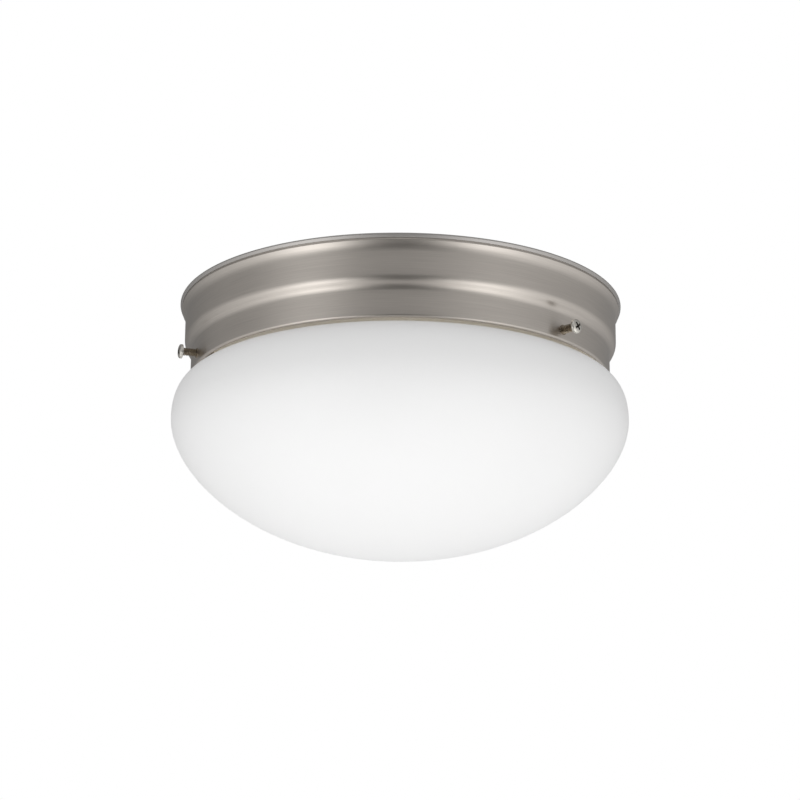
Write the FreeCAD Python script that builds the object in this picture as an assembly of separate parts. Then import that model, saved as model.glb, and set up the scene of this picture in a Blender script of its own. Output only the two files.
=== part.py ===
"""Flush mount ceiling light: a stepped drawn canopy that holds a mushroom shade on three screws.

Millimetres, +Z up. The origin is the middle of the crossbar's top face, in the plane of the
ceiling, so the light hangs into -Z. Azimuths run from the front (-Y) towards the right (+X).
"""
import FreeCAD, Part
import math
import os

Vector = FreeCAD.Vector
X_AXIS = Vector(1, 0, 0)
Y_AXIS = Vector(0, 1, 0)
Z_AXIS = Vector(0, 0, 1)
ORIGIN = Vector(0, 0, 0)
SAME_PLACE = 1e-6

# ---------------------------------------------------------------- driving sizes
# canopy: a drawn steel ring whose wide end meets the ceiling
wall_radius = 111.6          # outside of the tall upper wall
canopy_depth = 40.6          # ceiling to the bottom of the canopy
wall_step = 3.4              # how far the lower wall is set in from the upper wall
lower_wall_height = 15.15    # bottom of the canopy to the foot of the shoulder
shoulder_height = 3.4        # between the two corners of the shoulder
shoulder_bend = 5.0          # outside radius of the shoulder's two bends
canopy_sheet = 0.6
lip_turn = 1.5               # width of the in-turned lip at the bottom
lip_bend = 1.2
cove_height = 6.0            # ceiling to the corner that the cove rounds
cove_bend = 8.3
cove_flare = 1.9             # how far the cove's top edge stands out from the wall
groove_depth = 0.55          # of the dark groove between the cove and the rim bead
groove_height = 1.0
groove_slope = 0.7           # height of the groove's sloping bottom
groove_round = 0.2
cove_edge_round = 0.5

# back plate: its edge is rolled round the canopy's flange and makes the rim bead
plate_sheet = 0.7
rim_overhang = 2.8           # of the rim bead past the upper wall
bead_bend = 0.9
hem_gap = 0.05
hem_inset = 0.3              # of the hem's edge from the bottom of the groove
recess_inset = 14.4          # from the rim to the wall of the wiring recess
recess_depth = 9.0
recess_bend = 2.2
recess_slope = 2.0

# shade: blown opal glass with a rolled fitter edge that rests on the screws
glass_wall = 3.0
fitter_clearance = 3.7       # between the canopy's lip and the fitter edge, all round
fitter_step = 4.5            # of the fitter edge past the neck
fitter_height = 4.0
fitter_bend = 1.6
fitter_bore_round = 0.8
fitter_neck_round = 1.0
neck_bend = 4.2              # concave bend between the neck and the shoulder
shade_gap = 0.8              # canopy's bottom to the top of the glass shoulder
glass_bulge = 19.0           # of the widest circle past the neck
shoulder_rise = 20.6         # widest circle to the top of the shoulder
shoulder_handle = 19.0       # how long the side stays near upright above the widest circle
bowl_depth = 67.5            # widest circle to the bottom
bowl_side_handle = 27.5
bowl_bottom_handle = 69.8

# screws that hold the shade, number 8 with 32 threads to the inch
screw_azimuths = {"right": 47.75, "left": -72.25, "back": 167.75}
screw_height = 5.7           # of the screws' axes above the canopy's bottom
screw_radius = 2.08
screw_length = 15.9
screw_head_radius = 3.6
screw_head_height = 1.9
screw_end_round = 0.3
screw_head_dome = 1.25       # radius that rounds the head's top
screw_head_edge = 0.15
cross_width = 1.05           # of the cross recess in a screw's head
cross_span = 4.4
cross_depth = 1.6
cross_tip_radius = 0.6
tip_radius = 1.5
tip_length = 1.0
tip_round = 0.5
tip_stem_radius = 0.8
tip_stem_length = 3.5
tip_stem_round = 0.2
tip_stem_room = 0.5          # of the screw's hole past the stem
nut_radius = 4.5
nut_height = 3.0
nut_round = 0.3
nut_collar_wall = 0.4
nut_collar_proud = 0.3
nut_collar_round = 0.1

# crossbar and the screws that carry the canopy
bar_length = 110.0
bar_width = 19.0
bar_sheet = 1.6
bar_corner = 4.75
bar_centre_hole = 5.15       # radius, for an eighth-inch lamp pipe
box_slot_spacing = 79.4
box_slot_length = 16.2
box_slot_radius = 2.2
mounting_spacing = 50.8
mounting_screw_inset = 0.2   # of the mounting screws' ends below the ceiling
keyhole_offset = 9.0
keyhole_entry_gap = 0.95     # round a mounting screw's head
keyhole_slot_gap = 0.32      # round a mounting screw's thread
ground_screw_x = -14.5
ground_head_radius = 3.6      # of the hexagon's corners
ground_washer_radius = 4.1
ground_washer_sheet = 0.8
ground_head_height = 2.6
ground_screw_length = 2.4
ground_slot_width = 1.2
ground_slot_depth = 1.0
ground_edge_round = 0.2

# lamp: a 60 mm bulb, 108 mm long, with a 26 mm screw cap
bulb_radius = 30.0
lamp_length = 108.0
bulb_glass = 0.8
cap_crest_radius = 13.0
cap_root_radius = 12.3
cap_sheet = 0.35
cap_start = 4.5
cap_end = 25.5
cap_plain_start = 1.5        # plain wall before the cap's thread
cap_plain_end = 2.5          # and after it
cap_shoulder_step = 3.0      # from the cap's wall in to its end face
cap_shoulder_height = 1.0
cap_corner = 0.8
cap_end_width = 1.5          # of the cap's end face round the insulator
cap_bend = 0.5
thread_pitch = 3.63
thread_round = 0.6           # of the rolled thread's crests and roots
contact_radius = 4.6
contact_height = 1.6
contact_taper = 1.0          # of the contact towards its end
contact_round = 0.6
contact_inset = 0.2          # of the contact from the insulator's face
insulator_step = 1.2         # of the insulator behind the cap's end face
insulator_back = 1.5
insulator_round = 0.5
bulb_neck_gap = 0.2          # between the bulb's neck and the cap
bulb_neck_start = 5.0        # of the bulb's neck from the cap's start
bulb_neck_straight = 3.0     # of neck short of the cap's end, before it flares
bulb_neck_handle = 22.0      # how long the neck stays straight past that
bulb_side_handle = 26.0      # how long the side stays level below the widest circle
stem_flare_sheet = 0.8
stem_tube_radius = 5.0
stem_foot_radius = 7.0
stem_foot_height = 1.2
stem_tube_length = 22.0
stem_neck_length = 26.0
stem_rod_radius = 2.0
stem_length = 40.0
stem_bore_radius = 3.5
stem_bore_start = 10.0
stem_bore_end = 12.0
stem_bore_bend = 1.0
stem_bends = (2.0, 1.5, 1.0, 0.5)
filament_foot = 36.0         # where the wires leave the stem
filament_foot_half = 3.2
filament_half = 11.0
filament_rise = 22.0
filament_bow = 3.0           # of the coil's middle past its ends
filament_step = 6.0
filament_tuck = 1.0
filament_radius = 0.35
filament_bends = (2.0, 2.0, 6.0, 2.0, 2.0)
bulb_clearance = 6.3         # between the bulb and the back plate

# lampholder and the bracket that carries it
bracket_gap = 9.7            # between the bracket and the inside of the shade's neck
bracket_sheet = 1.5
bracket_width = 18.0
bracket_foot = 24.0
bracket_tail = 10.0          # of the leg below the lamp's axis
bracket_bend = 2.5
bracket_corner = 3.6
holder_radius = 18.9
holder_back_radius = 16.0
holder_length = 37.3
holder_floor = 10.3
holder_bore_radius = 14.1
holder_bends = (1.2, 2.0, 1.2, 0.5, 0.3)
holder_screw_bite = 5.0      # of the holder's screw past the bracket
holder_screw_room = 1.0      # of its hole past its end
holder_vent_radius = 1.55
holder_vent_y = 4.5
holder_vent_start = 7.0
lamp_seat = 2.0              # holder's floor to the lamp's contact
shell_sheet = 0.4
shell_short = 1.5            # of the screw shell behind the holder's mouth
shell_ridge = 0.6            # from the shell's roots to its crests
shell_plain_start = 3.0
shell_plain_end = 1.0
shell_floor_bend = 1.0
shell_hole_radius = 6.0
tongue_sheet = 0.4
tongue_width = 4.0
tongue_reach = 4.0           # of its end past the lamp's axis
tongue_foot = 5.0
tongue_half_rise = 1.5       # half the height of its sloping middle
tongue_bend = 1.0
rivet_radius = 2.0
rivet_head_radius = 3.6
rivet_head_height = 1.2
rivet_tail_radius = 3.24
rivet_round = 0.8
bracket_rivet_inset = 8.0    # of the rivets from the end of the bracket's foot

# wiring
lead_radius = 1.0
lead_hole_gap = 0.15
lead_spread = 1.6            # of each lead from the middle of the bushing
lead_bend_share = 0.45       # of the shorter run that each bend takes up
lead_exit_inset = 5.3        # of the leads from the lampholder's back
lead_depth = 6.0             # of the leads' ends below the lampholder's side
lead_hole_room = 1.0         # of the leads' holes past their ends
lead_exit_ys = {"white": 4.0, "black": 11.0}
bushing_x = -47.0
bushing_y = 15.0
bushing_hole_radius = 7.5
bushing_bore_radius = 5.8
bushing_flange = 1.6
bushing_lip = 1.0
bushing_bore_round = 0.6
bushing_flange_round = 0.5
connector_radius = 4.2
connector_length = 18.0
connector_grip = 8.0         # of lead inside each connector
connector_start = -24.0      # where the connectors' mouths are
connector_ys = {"black": 25.0, "white": 14.8}
connector_wall_gap = 0.35    # between a lead and the connector's bore
connector_skirt = 7.0        # length of the connector's widest part
connector_end_radius = 2.31
connector_end_room = 1.5     # of the bore past the lead's end
connector_bends = (0.6, 1.0, 1.2)
pad_inner_radius = 60.0
pad_gap = 2.0                # between the pad and the wall of the recess
pad_thickness = 5.7
pad_low_round = 0.8
pad_high_round = 1.5
pad_rivet_gap = 0.8
ground_wire_radius = 0.5
ground_ring_radius = 4.3
ground_ring_sheet = 0.8
ground_tab_width = 2.4
ground_tab_length = 7.0
ground_wire_lap = 6.0        # of the wire's ends along the tabs
ground_rivet_x = -24.0
ground_rivet_y = -27.0

# clearances
seat_gap = 0.3               # between pieces of different bodies that rest on each other
fit_gap = 0.03               # radial, between a screw and its thread
loose_gap = 0.05             # between pieces that are fixed to each other

# ---------------------------------------------------------------- places that follow
rim_radius = wall_radius + rim_overhang
cove_edge = wall_radius + cove_flare
groove_radius = cove_edge - groove_depth
bead_height = 2 * plate_sheet + 2 * hem_gap + canopy_sheet
lower_wall_radius = wall_radius - wall_step
opening_radius = lower_wall_radius - lip_turn
shoulder_z = -(canopy_depth - lower_wall_height - shoulder_height)
plate_top_z = -recess_depth
plate_under_z = plate_top_z - plate_sheet
recess_radius = rim_radius - recess_inset

fitter_radius = opening_radius - fitter_clearance
neck_radius = fitter_radius - fitter_step
neck_bore = neck_radius - glass_wall
glass_radius = neck_radius + glass_bulge
screw_z = screw_height - canopy_depth
fitter_under_z = screw_z + screw_radius + seat_gap
fitter_top_z = fitter_under_z + fitter_height
glass_shoulder_z = -(canopy_depth + shade_gap)
glass_widest_z = glass_shoulder_z - shoulder_rise

tip_end = neck_radius + seat_gap
screw_end = tip_end + tip_length
screw_head_under = screw_end + screw_length
nut_face = lower_wall_radius - canopy_sheet - loose_gap - nut_radius**2 / (2 * lower_wall_radius)
nut_collar_radius = screw_radius + fit_gap + nut_collar_wall
nut_hole_radius = nut_collar_radius + loose_gap

mounting_screw_length = -plate_under_z - mounting_screw_inset
keyhole_radius = screw_head_radius + keyhole_entry_gap
keyhole_slot_radius = screw_radius + keyhole_slot_gap

lamp_z = plate_under_z - bulb_clearance - bulb_radius
bracket_x = -(neck_bore - bracket_gap)
holder_back_x = bracket_x + bracket_sheet
holder_mouth_x = holder_back_x + holder_length
holder_floor_x = holder_back_x + holder_floor
shell_radius = holder_bore_radius - loose_gap
lamp_x = holder_floor_x + lamp_seat
rivet_x = bracket_x + bracket_foot - bracket_rivet_inset
rivet_ys = (-bracket_width / 4, bracket_width / 4)
ground_rivet_place = Vector(ground_rivet_x, ground_rivet_y, plate_top_z)
cap_end_z = cap_start - cap_shoulder_height
cap_hole_radius = cap_root_radius - cap_shoulder_step - cap_end_width
bulb_neck_radius = cap_root_radius - cap_sheet - bulb_neck_gap
bulb_foot = cap_start + bulb_neck_start
lead_exit_x = holder_back_x + lead_exit_inset
connector_z = plate_top_z + connector_radius + seat_gap


# ---------------------------------------------------------------- helpers
def rounded_corner(before, corner, after, radius):
    """Start, middle and end of the arc of a radius that rounds a corner."""
    back = (before - corner).normalize()
    ahead = (after - corner).normalize()
    half = back.getAngle(ahead) / 2
    middle = (back + ahead).normalize()
    reach = radius / math.tan(half)
    bulge = radius / math.sin(half) - radius
    return corner + back * reach, corner + middle * bulge, corner + ahead * reach


def joined_edges(corners, radii, closed):
    """Straight edges through the corners, joined by tangent arcs of the radii."""
    count = len(corners)
    edges = []
    stretches = []
    for i in range(count):
        if radii[i] > 0 and (closed or 0 < i < count - 1):
            before, after = corners[i - 1], corners[(i + 1) % count]
            stretches.append(rounded_corner(before, corners[i], after, radii[i]))
        else:
            stretches.append((corners[i],))
    last = count if closed else count - 1
    for i in range(count):
        if len(stretches[i]) == 3:
            edges.append(Part.Arc(*stretches[i]).toShape())
        if i < last:
            start, end = stretches[i][-1], stretches[(i + 1) % count][0]
            if start.distanceToPoint(end) > SAME_PLACE:
                edges.append(Part.LineSegment(start, end).toShape())
    return edges


def outline(points):
    """Closed face in the X-Z plane through (x, z) or (x, z, corner radius)."""
    corners = [Vector(p[0], 0, p[1]) for p in points]
    radii = [p[2] if len(p) > 2 else 0 for p in points]
    return Part.Face(Part.Wire(joined_edges(corners, radii, True)))


def sheet_outline(points, thickness):
    """Face of a bent sheet: the given side's corners, and the other side to the left of them."""
    count = len(points)
    corners = [Vector(p[0], 0, p[1]) for p in points]
    radii = [p[2] if len(p) > 2 else 0 for p in points]
    runs = [(corners[i + 1] - corners[i]).normalize() for i in range(count - 1)]
    normals = [Vector(-run.z, 0, run.x) for run in runs]
    far_side = [corners[0] + normals[0] * thickness]
    far_radii = [0]
    for i in range(1, count - 1):
        mitre = (normals[i - 1] + normals[i]).normalize()
        far_side.append(corners[i] + mitre * (thickness / mitre.dot(normals[i])))
        turn = runs[i - 1].x * runs[i].z - runs[i - 1].z * runs[i].x
        grown = radii[i] - thickness if turn > 0 else radii[i] + thickness
        far_radii.append(max(grown, 0))
    far_side.append(corners[-1] + normals[-1] * thickness)
    far_radii.append(0)
    loop = corners + far_side[::-1]
    return Part.Face(Part.Wire(joined_edges(loop, radii + far_radii[::-1], True)))


def turned(face):
    """Solid turned about the light's upright axis."""
    return face.revolve(ORIGIN, Z_AXIS, 360)


def lathed(points):
    """Solid turned about the X axis through (distance along X, radius) corners."""
    return outline(points).revolve(ORIGIN, X_AXIS, 360)


def bezier(*points):
    curve = Part.BezierCurve()
    curve.setPoles([Vector(x, 0, z) for x, z in points])
    return curve.toShape()


def line(start, end):
    return Part.LineSegment(Vector(start[0], 0, start[1]), Vector(end[0], 0, end[1])).toShape()


def cylinder(radius, height, base, axis=Z_AXIS):
    return Part.makeCylinder(radius, height, base, axis)


def slot_cutter(centre, length, radius, height):
    """Upright cutter for a slot along X, length end to end."""
    half = length / 2 - radius
    block = Part.makeBox(2 * half, 2 * radius, height, centre + Vector(-half, -radius, 0))
    ends = [cylinder(radius, height, centre + Vector(side * half, 0, 0)) for side in (-1, 1)]
    return block.fuse(ends).removeSplitter()


def tube(points, radius, radii):
    """Round rod along straight runs joined by tangent arcs."""
    route = Part.Wire(joined_edges(points, radii, False))
    circle = Part.Circle(points[0], points[1] - points[0], radius).toShape()
    return route.makePipeShell([Part.Wire(circle)], True, True)


def lead_radii(points):
    """Arc radii as large as the shorter run at each corner allows."""
    radii = [0]
    for before, corner, after in zip(points, points[1:], points[2:]):
        turn = (corner - before).getAngle(after - corner)
        shorter = min((corner - before).Length, (after - corner).Length)
        radii.append(lead_bend_share * shorter / math.tan(turn / 2))
    return radii + [0]


def at_azimuth(shape, azimuth):
    """Turns a piece made along +X at the axis height to a screw's place."""
    placed = shape.copy()
    placed.translate(Vector(0, 0, screw_z))
    placed.rotate(ORIGIN, Z_AXIS, azimuth - 90)
    return placed


def on_lamp_axis(shape):
    placed = shape.copy()
    placed.translate(Vector(lamp_x, 0, lamp_z))
    return placed


def ridges(start, end, root, crest):
    """(distance, radius, corner radius) points of rolled thread rings between two distances."""
    count = int((end - start) / thread_pitch)
    step = (end - start) / count
    points = []
    for i in range(count):
        points.append((start + step * (i + 1 / 4), crest, thread_round))
        points.append((start + step * (i + 3 / 4), root, thread_round))
    return points


def pan_head_screw(length, radius, head_radius, head_height):
    """Screw along +X from its end at 0, with a domed head and a cross recess."""
    top = length + head_height
    body = lathed([(0, 0), (0, radius, screw_end_round), (length, radius),
                   (length, head_radius, screw_head_edge), (top, head_radius, screw_head_dome),
                   (top, 0)])
    half = cross_span / 2
    wing = Part.makeBox(cross_depth, cross_span, cross_width,
                        Vector(top - cross_depth, -half, -cross_width / 2))
    cross = wing.fuse(wing.rotated(ORIGIN, X_AXIS, 90))
    taper = Part.makeCone(cross_tip_radius, half, cross_depth, Vector(top - cross_depth, 0, 0),
                          X_AXIS)
    return body.cut(cross.common(taper))


# ---------------------------------------------------------------- canopy and back plate
def canopy_shell():
    flange_z = -(plate_sheet + hem_gap + canopy_sheet)
    cove_top_z = -(bead_height + groove_height)
    section = sheet_outline([
        (opening_radius, -canopy_depth),
        (lower_wall_radius, -canopy_depth, lip_bend),
        (lower_wall_radius, shoulder_z - shoulder_height, shoulder_bend),
        (wall_radius, shoulder_z, shoulder_bend),
        (wall_radius, -cove_height, cove_bend),
        (cove_edge, cove_top_z, cove_edge_round),
        (groove_radius, cove_top_z + groove_slope, groove_round),
        (groove_radius, flange_z, groove_round),
        (rim_radius - bead_bend, flange_z)], canopy_sheet)
    shell = turned(section)
    hole = cylinder(nut_hole_radius, 4 * canopy_sheet,
                    Vector(lower_wall_radius - 3 * canopy_sheet, 0, 0), X_AXIS)
    for azimuth in screw_azimuths.values():
        shell = shell.cut(at_azimuth(hole, azimuth))
    return shell


def back_plate():
    section = sheet_outline([
        (groove_radius + hem_inset, -bead_height),
        (rim_radius, -bead_height, bead_bend),
        (rim_radius, 0, bead_bend),
        (recess_radius, 0, recess_bend),
        (recess_radius - recess_slope, plate_top_z, recess_bend),
        (0, plate_top_z)], plate_sheet)
    plate = turned(section)
    depth = 3 * plate_sheet
    base_z = plate_under_z - plate_sheet
    cutters = [cylinder(bushing_hole_radius, depth, Vector(bushing_x, bushing_y, base_z))]
    for side in (-1, 1):
        x = side * mounting_spacing / 2
        entry_y = side * keyhole_offset
        cutters.append(cylinder(keyhole_radius, depth, Vector(x, entry_y, base_z)))
        cutters.append(cylinder(keyhole_slot_radius, depth, Vector(x, 0, base_z)))
        low_y = min(0, entry_y)
        cutters.append(Part.makeBox(2 * keyhole_slot_radius, keyhole_offset, depth,
                                    Vector(x - keyhole_slot_radius, low_y, base_z)))
    rivet_places = [(rivet_x, y) for y in rivet_ys] + [(ground_rivet_x, ground_rivet_y)]
    for x, y in rivet_places:
        cutters.append(cylinder(rivet_radius + loose_gap, depth, Vector(x, y, base_z)))
    return plate.cut(cutters)


def insulation_pad():
    outer = recess_radius - recess_slope - pad_gap
    low = plate_top_z + seat_gap
    high = low + pad_thickness
    pad = turned(outline([(pad_inner_radius, low, pad_low_round), (outer, low, pad_low_round),
                          (outer, high, pad_high_round),
                          (pad_inner_radius, high, pad_high_round)]))
    over_rivets = [cylinder(rivet_head_radius + pad_rivet_gap, 2 * recess_depth,
                            Vector(rivet_x, y, plate_under_z)) for y in rivet_ys]
    return pad.cut(over_rivets)


# ---------------------------------------------------------------- crossbar and its screws
def crossbar():
    half = bar_length / 2
    bar = Part.makeBox(bar_length, bar_width, bar_sheet, Vector(-half, -bar_width / 2, -bar_sheet))
    upright = [e for e in bar.Edges if e.BoundBox.ZLength > bar_sheet / 2]
    bar = bar.makeFillet(bar_corner, upright)
    low = Vector(0, 0, -2 * bar_sheet)
    height = 3 * bar_sheet
    cutters = [cylinder(bar_centre_hole, height, low),
               cylinder(screw_radius + fit_gap, height, low + Vector(ground_screw_x, 0, 0))]
    for side in (-1, 1):
        slot_centre = low + Vector(side * box_slot_spacing / 2, 0, 0)
        cutters.append(slot_cutter(slot_centre, box_slot_length, box_slot_radius, height))
        tapped = low + Vector(side * mounting_spacing / 2, 0, 0)
        cutters.append(cylinder(screw_radius + fit_gap, height, tapped))
    return bar.cut(cutters)


def mounting_screws():
    screw = pan_head_screw(mounting_screw_length, screw_radius, screw_head_radius, screw_head_height)
    screw.rotate(ORIGIN, Y_AXIS, 90)
    screw.translate(Vector(0, 0, plate_under_z + mounting_screw_length))
    half = mounting_spacing / 2
    return Part.makeCompound([screw.translated(Vector(side * half, 0, 0)) for side in (-1, 1)])


def ground_screw():
    head_z = -bar_sheet - ground_ring_sheet - 2 * loose_gap
    washer_top = ground_screw_length + ground_washer_sheet
    screw = lathed([(0, 0), (0, screw_radius, screw_end_round),
                    (ground_screw_length, screw_radius),
                    (ground_screw_length, ground_washer_radius, ground_edge_round),
                    (washer_top, ground_washer_radius, ground_edge_round), (washer_top, 0)])
    corners = [Vector(0, ground_head_radius, 0)]
    for angle in range(60, 361, 60):
        turn = math.radians(angle)
        corners.append(Vector(0, ground_head_radius * math.cos(turn),
                              ground_head_radius * math.sin(turn)))
    hexagon = Part.Face(Part.makePolygon(corners))
    head = hexagon.extrude(X_AXIS * ground_head_height)
    driver_slot = Part.makeBox(ground_slot_depth, 4 * ground_head_radius, ground_slot_width,
                               Vector(ground_head_height - ground_slot_depth,
                                      -2 * ground_head_radius, -ground_slot_width / 2))
    head = head.cut(driver_slot)
    head.translate(X_AXIS * ground_screw_length)
    screw = screw.fuse(head).removeSplitter()
    screw.rotate(ORIGIN, Y_AXIS, 90)
    screw.translate(Vector(ground_screw_x, 0, head_z + ground_screw_length))
    return screw


# ---------------------------------------------------------------- shade and its screws
def glass_shade():
    bend_z = glass_shoulder_z + neck_bend
    bend_x = neck_radius + neck_bend
    widest = glass_widest_z
    bottom = widest - bowl_depth
    bore_widest = glass_radius - glass_wall
    corners = [Vector(neck_bore, 0, bend_z), Vector(neck_bore, 0, fitter_top_z),
               Vector(fitter_radius, 0, fitter_top_z), Vector(fitter_radius, 0, fitter_under_z),
               Vector(neck_radius, 0, fitter_under_z), Vector(neck_radius, 0, bend_z)]
    radii = [0, fitter_bore_round, fitter_bend, fitter_bend, fitter_neck_round, 0]
    edges = joined_edges(corners, radii, False)
    diagonal = math.sqrt(0.5)

    def neck_arc(radius):
        start = Vector(bend_x - radius, 0, bend_z)
        middle = Vector(bend_x - radius * diagonal, 0, bend_z - radius * diagonal)
        return Part.Arc(start, middle, Vector(bend_x, 0, bend_z - radius)).toShape()

    outside_share = 1 - glass_wall / bowl_depth
    edges += [
        neck_arc(neck_bend),
        bezier((bend_x, glass_shoulder_z), (glass_radius, widest + shoulder_handle),
               (glass_radius, widest)),
        bezier((glass_radius, widest), (glass_radius, widest - bowl_side_handle),
               (bowl_bottom_handle, bottom), (0, bottom)),
        line((0, bottom), (0, bottom + glass_wall)),
        bezier((0, bottom + glass_wall), (bowl_bottom_handle * outside_share, bottom + glass_wall),
               (bore_widest, widest - bowl_side_handle * outside_share), (bore_widest, widest)),
        bezier((bore_widest, widest), (bore_widest, widest + shoulder_handle - glass_wall),
               (bend_x, glass_shoulder_z - glass_wall)),
        neck_arc(neck_bend + glass_wall)]
    return turned(Part.Face(Part.Wire(Part.__sortEdges__(edges))))


def glass_screw():
    """Along +X from the shade, at its distance from the light's axis."""
    screw = pan_head_screw(screw_length, screw_radius, screw_head_radius, screw_head_height)
    stem_hole = cylinder(tip_stem_radius + fit_gap, tip_stem_length + tip_stem_room, ORIGIN,
                         X_AXIS)
    return screw.cut(stem_hole).translated(Vector(screw_end, 0, 0))


def screw_tip():
    """Soft plug in the screw's end: it keeps the steel off the glass."""
    return lathed([(tip_end, 0), (tip_end, tip_radius, tip_round),
                   (screw_end - loose_gap, tip_radius),
                   (screw_end - loose_gap, tip_stem_radius),
                   (screw_end + tip_stem_length, tip_stem_radius, tip_stem_round),
                   (screw_end + tip_stem_length, 0)])


def clinch_nut():
    bore = screw_radius + fit_gap
    collar_end = lower_wall_radius + nut_collar_proud
    return lathed([(nut_face - nut_height, bore), (nut_face - nut_height, nut_radius, nut_round),
                   (nut_face, nut_radius), (nut_face, nut_collar_radius),
                   (collar_end, nut_collar_radius, nut_collar_round), (collar_end, bore)])


def clinch_nuts():
    nuts = [at_azimuth(clinch_nut(), azimuth) for azimuth in screw_azimuths.values()]
    return Part.makeCompound(nuts)


# ---------------------------------------------------------------- lampholder
def lamp_bracket():
    foot_end = bracket_x + bracket_foot
    leg_end = lamp_z - bracket_tail
    section = sheet_outline([(foot_end, plate_under_z), (bracket_x, plate_under_z, bracket_bend),
                             (bracket_x, leg_end)], bracket_sheet)
    half = bracket_width / 2
    bracket = section.extrude(Y_AXIS * bracket_width)
    bracket.translate(Y_AXIS * -half)

    def is_end_corner(edge):
        box = edge.BoundBox
        in_foot = box.XMin > foot_end - SAME_PLACE
        in_leg = box.ZMax < leg_end + SAME_PLACE
        return box.YLength < SAME_PLACE and (in_foot or in_leg)

    corners = [edge for edge in bracket.Edges if is_end_corner(edge)]
    bracket = bracket.makeFillet(bracket_corner, corners)
    cutters = [cylinder(screw_radius + loose_gap, 3 * bracket_sheet,
                        Vector(bracket_x - bracket_sheet, 0, lamp_z), X_AXIS)]
    for y in rivet_ys:
        cutters.append(cylinder(rivet_radius + loose_gap, 3 * bracket_sheet,
                                Vector(rivet_x, y, plate_under_z - 2 * bracket_sheet)))
    return bracket.cut(cutters)


def rivet(grip):
    """Upright rivet whose top head's underside is at z = 0."""
    head = outline([(0, -grip), (rivet_radius, -grip), (rivet_radius, 0), (rivet_head_radius, 0),
                    (rivet_head_radius, rivet_head_height, rivet_round), (0, rivet_head_height)])
    tail_end = -grip - rivet_head_height
    tail = outline([(0, -grip), (0, tail_end), (rivet_tail_radius, tail_end, rivet_round),
                    (rivet_tail_radius, -grip)])
    return turned(head).fuse(turned(tail)).removeSplitter()


def bracket_rivets():
    one = rivet(plate_sheet + bracket_sheet)
    return Part.makeCompound([one.translated(Vector(rivet_x, y, plate_top_z)) for y in rivet_ys])


def holder_body():
    back, side, mouth, bore, floor = holder_bends
    body = lathed([(holder_back_x, 0), (holder_back_x, holder_back_radius, back),
                   (holder_floor_x, holder_radius, side), (holder_mouth_x, holder_radius, mouth),
                   (holder_mouth_x, holder_bore_radius, bore),
                   (holder_floor_x, holder_bore_radius, floor), (holder_floor_x, 0)])
    body.translate(Vector(0, 0, lamp_z))
    cutters = [cylinder(screw_radius + loose_gap, holder_screw_bite + holder_screw_room,
                        Vector(holder_back_x, 0, lamp_z), X_AXIS),
               cylinder(holder_vent_radius, holder_floor,
                        Vector(holder_back_x + holder_vent_start, holder_vent_y, lamp_z), X_AXIS)]
    for y in lead_exit_ys.values():
        low = Vector(lead_exit_x, y, lead_start_z(y) - lead_hole_room)
        cutters.append(cylinder(lead_radius + lead_hole_gap, 2 * holder_radius, low))
    return body.cut(cutters)


def holder_screw():
    length = bracket_sheet + holder_screw_bite
    screw = pan_head_screw(length, screw_radius, screw_head_radius, screw_head_height)
    screw.rotate(ORIGIN, Z_AXIS, 180)
    return screw.translated(Vector(bracket_x + length, 0, lamp_z))


def screw_shell():
    """Thin cup with rolled thread rings, open to the lamp."""
    rim_x = holder_mouth_x - shell_short
    floor_x = holder_floor_x + loose_gap
    root = shell_radius - shell_ridge
    rings = ridges(floor_x + shell_plain_start, rim_x - shell_plain_end, root, shell_radius)
    path = [(rim_x, shell_radius)] + rings[::-1]
    path += [(floor_x, root, shell_floor_bend), (floor_x, shell_hole_radius)]
    cup = sheet_outline(path, shell_sheet).revolve(ORIGIN, X_AXIS, 360)
    return cup.translated(Vector(0, 0, lamp_z))


def centre_contact():
    """Sprung brass tongue with its foot on the holder's floor."""
    floor_x = holder_floor_x + loose_gap
    touch_x = lamp_x - seat_gap - tongue_sheet
    section = sheet_outline([
        (floor_x, tongue_foot), (floor_x, tongue_half_rise, tongue_bend),
        (touch_x, -tongue_half_rise, tongue_bend), (touch_x, -tongue_reach)], tongue_sheet)
    tongue = section.extrude(Y_AXIS * tongue_width)
    return tongue.translated(Vector(0, -tongue_width / 2, lamp_z))


# ---------------------------------------------------------------- lamp
def bulb_edges(inset):
    """Half outline of the bulb's glass, inset from the outside, from the neck to the crown."""
    centre = lamp_length - bulb_radius
    radius = bulb_radius - inset
    neck = bulb_neck_radius - inset
    flare = cap_end - bulb_neck_straight
    crown = Vector(centre + radius, 0, 0)
    middle = Vector(centre + radius * math.sqrt(0.5), 0, radius * math.sqrt(0.5))
    return [line((bulb_foot, neck), (flare, neck)),
            bezier((flare, neck), (flare + bulb_neck_handle, neck),
                   (centre - bulb_side_handle, radius), (centre, radius)),
            Part.Arc(Vector(centre, 0, radius), middle, crown).toShape()]


def lamp_envelope():
    ends = [line((bulb_foot, bulb_neck_radius), (bulb_foot, bulb_neck_radius - bulb_glass)),
            line((lamp_length, 0), (lamp_length - bulb_glass, 0))]
    edges = bulb_edges(0) + bulb_edges(bulb_glass) + ends
    face = Part.Face(Part.Wire(Part.__sortEdges__(edges)))
    return on_lamp_axis(face.revolve(ORIGIN, X_AXIS, 360))


def lamp_cap():
    rings = ridges(cap_start + cap_plain_start, cap_end - cap_plain_end, cap_root_radius,
                   cap_crest_radius)
    path = [(cap_end, cap_root_radius)] + rings[::-1]
    path += [(cap_start + cap_corner, cap_root_radius, cap_bend),
             (cap_end_z, cap_root_radius - cap_shoulder_step, cap_bend),
             (cap_end_z, cap_hole_radius)]
    cap = sheet_outline(path, cap_sheet).revolve(ORIGIN, X_AXIS, 360)
    return on_lamp_axis(cap)


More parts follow.
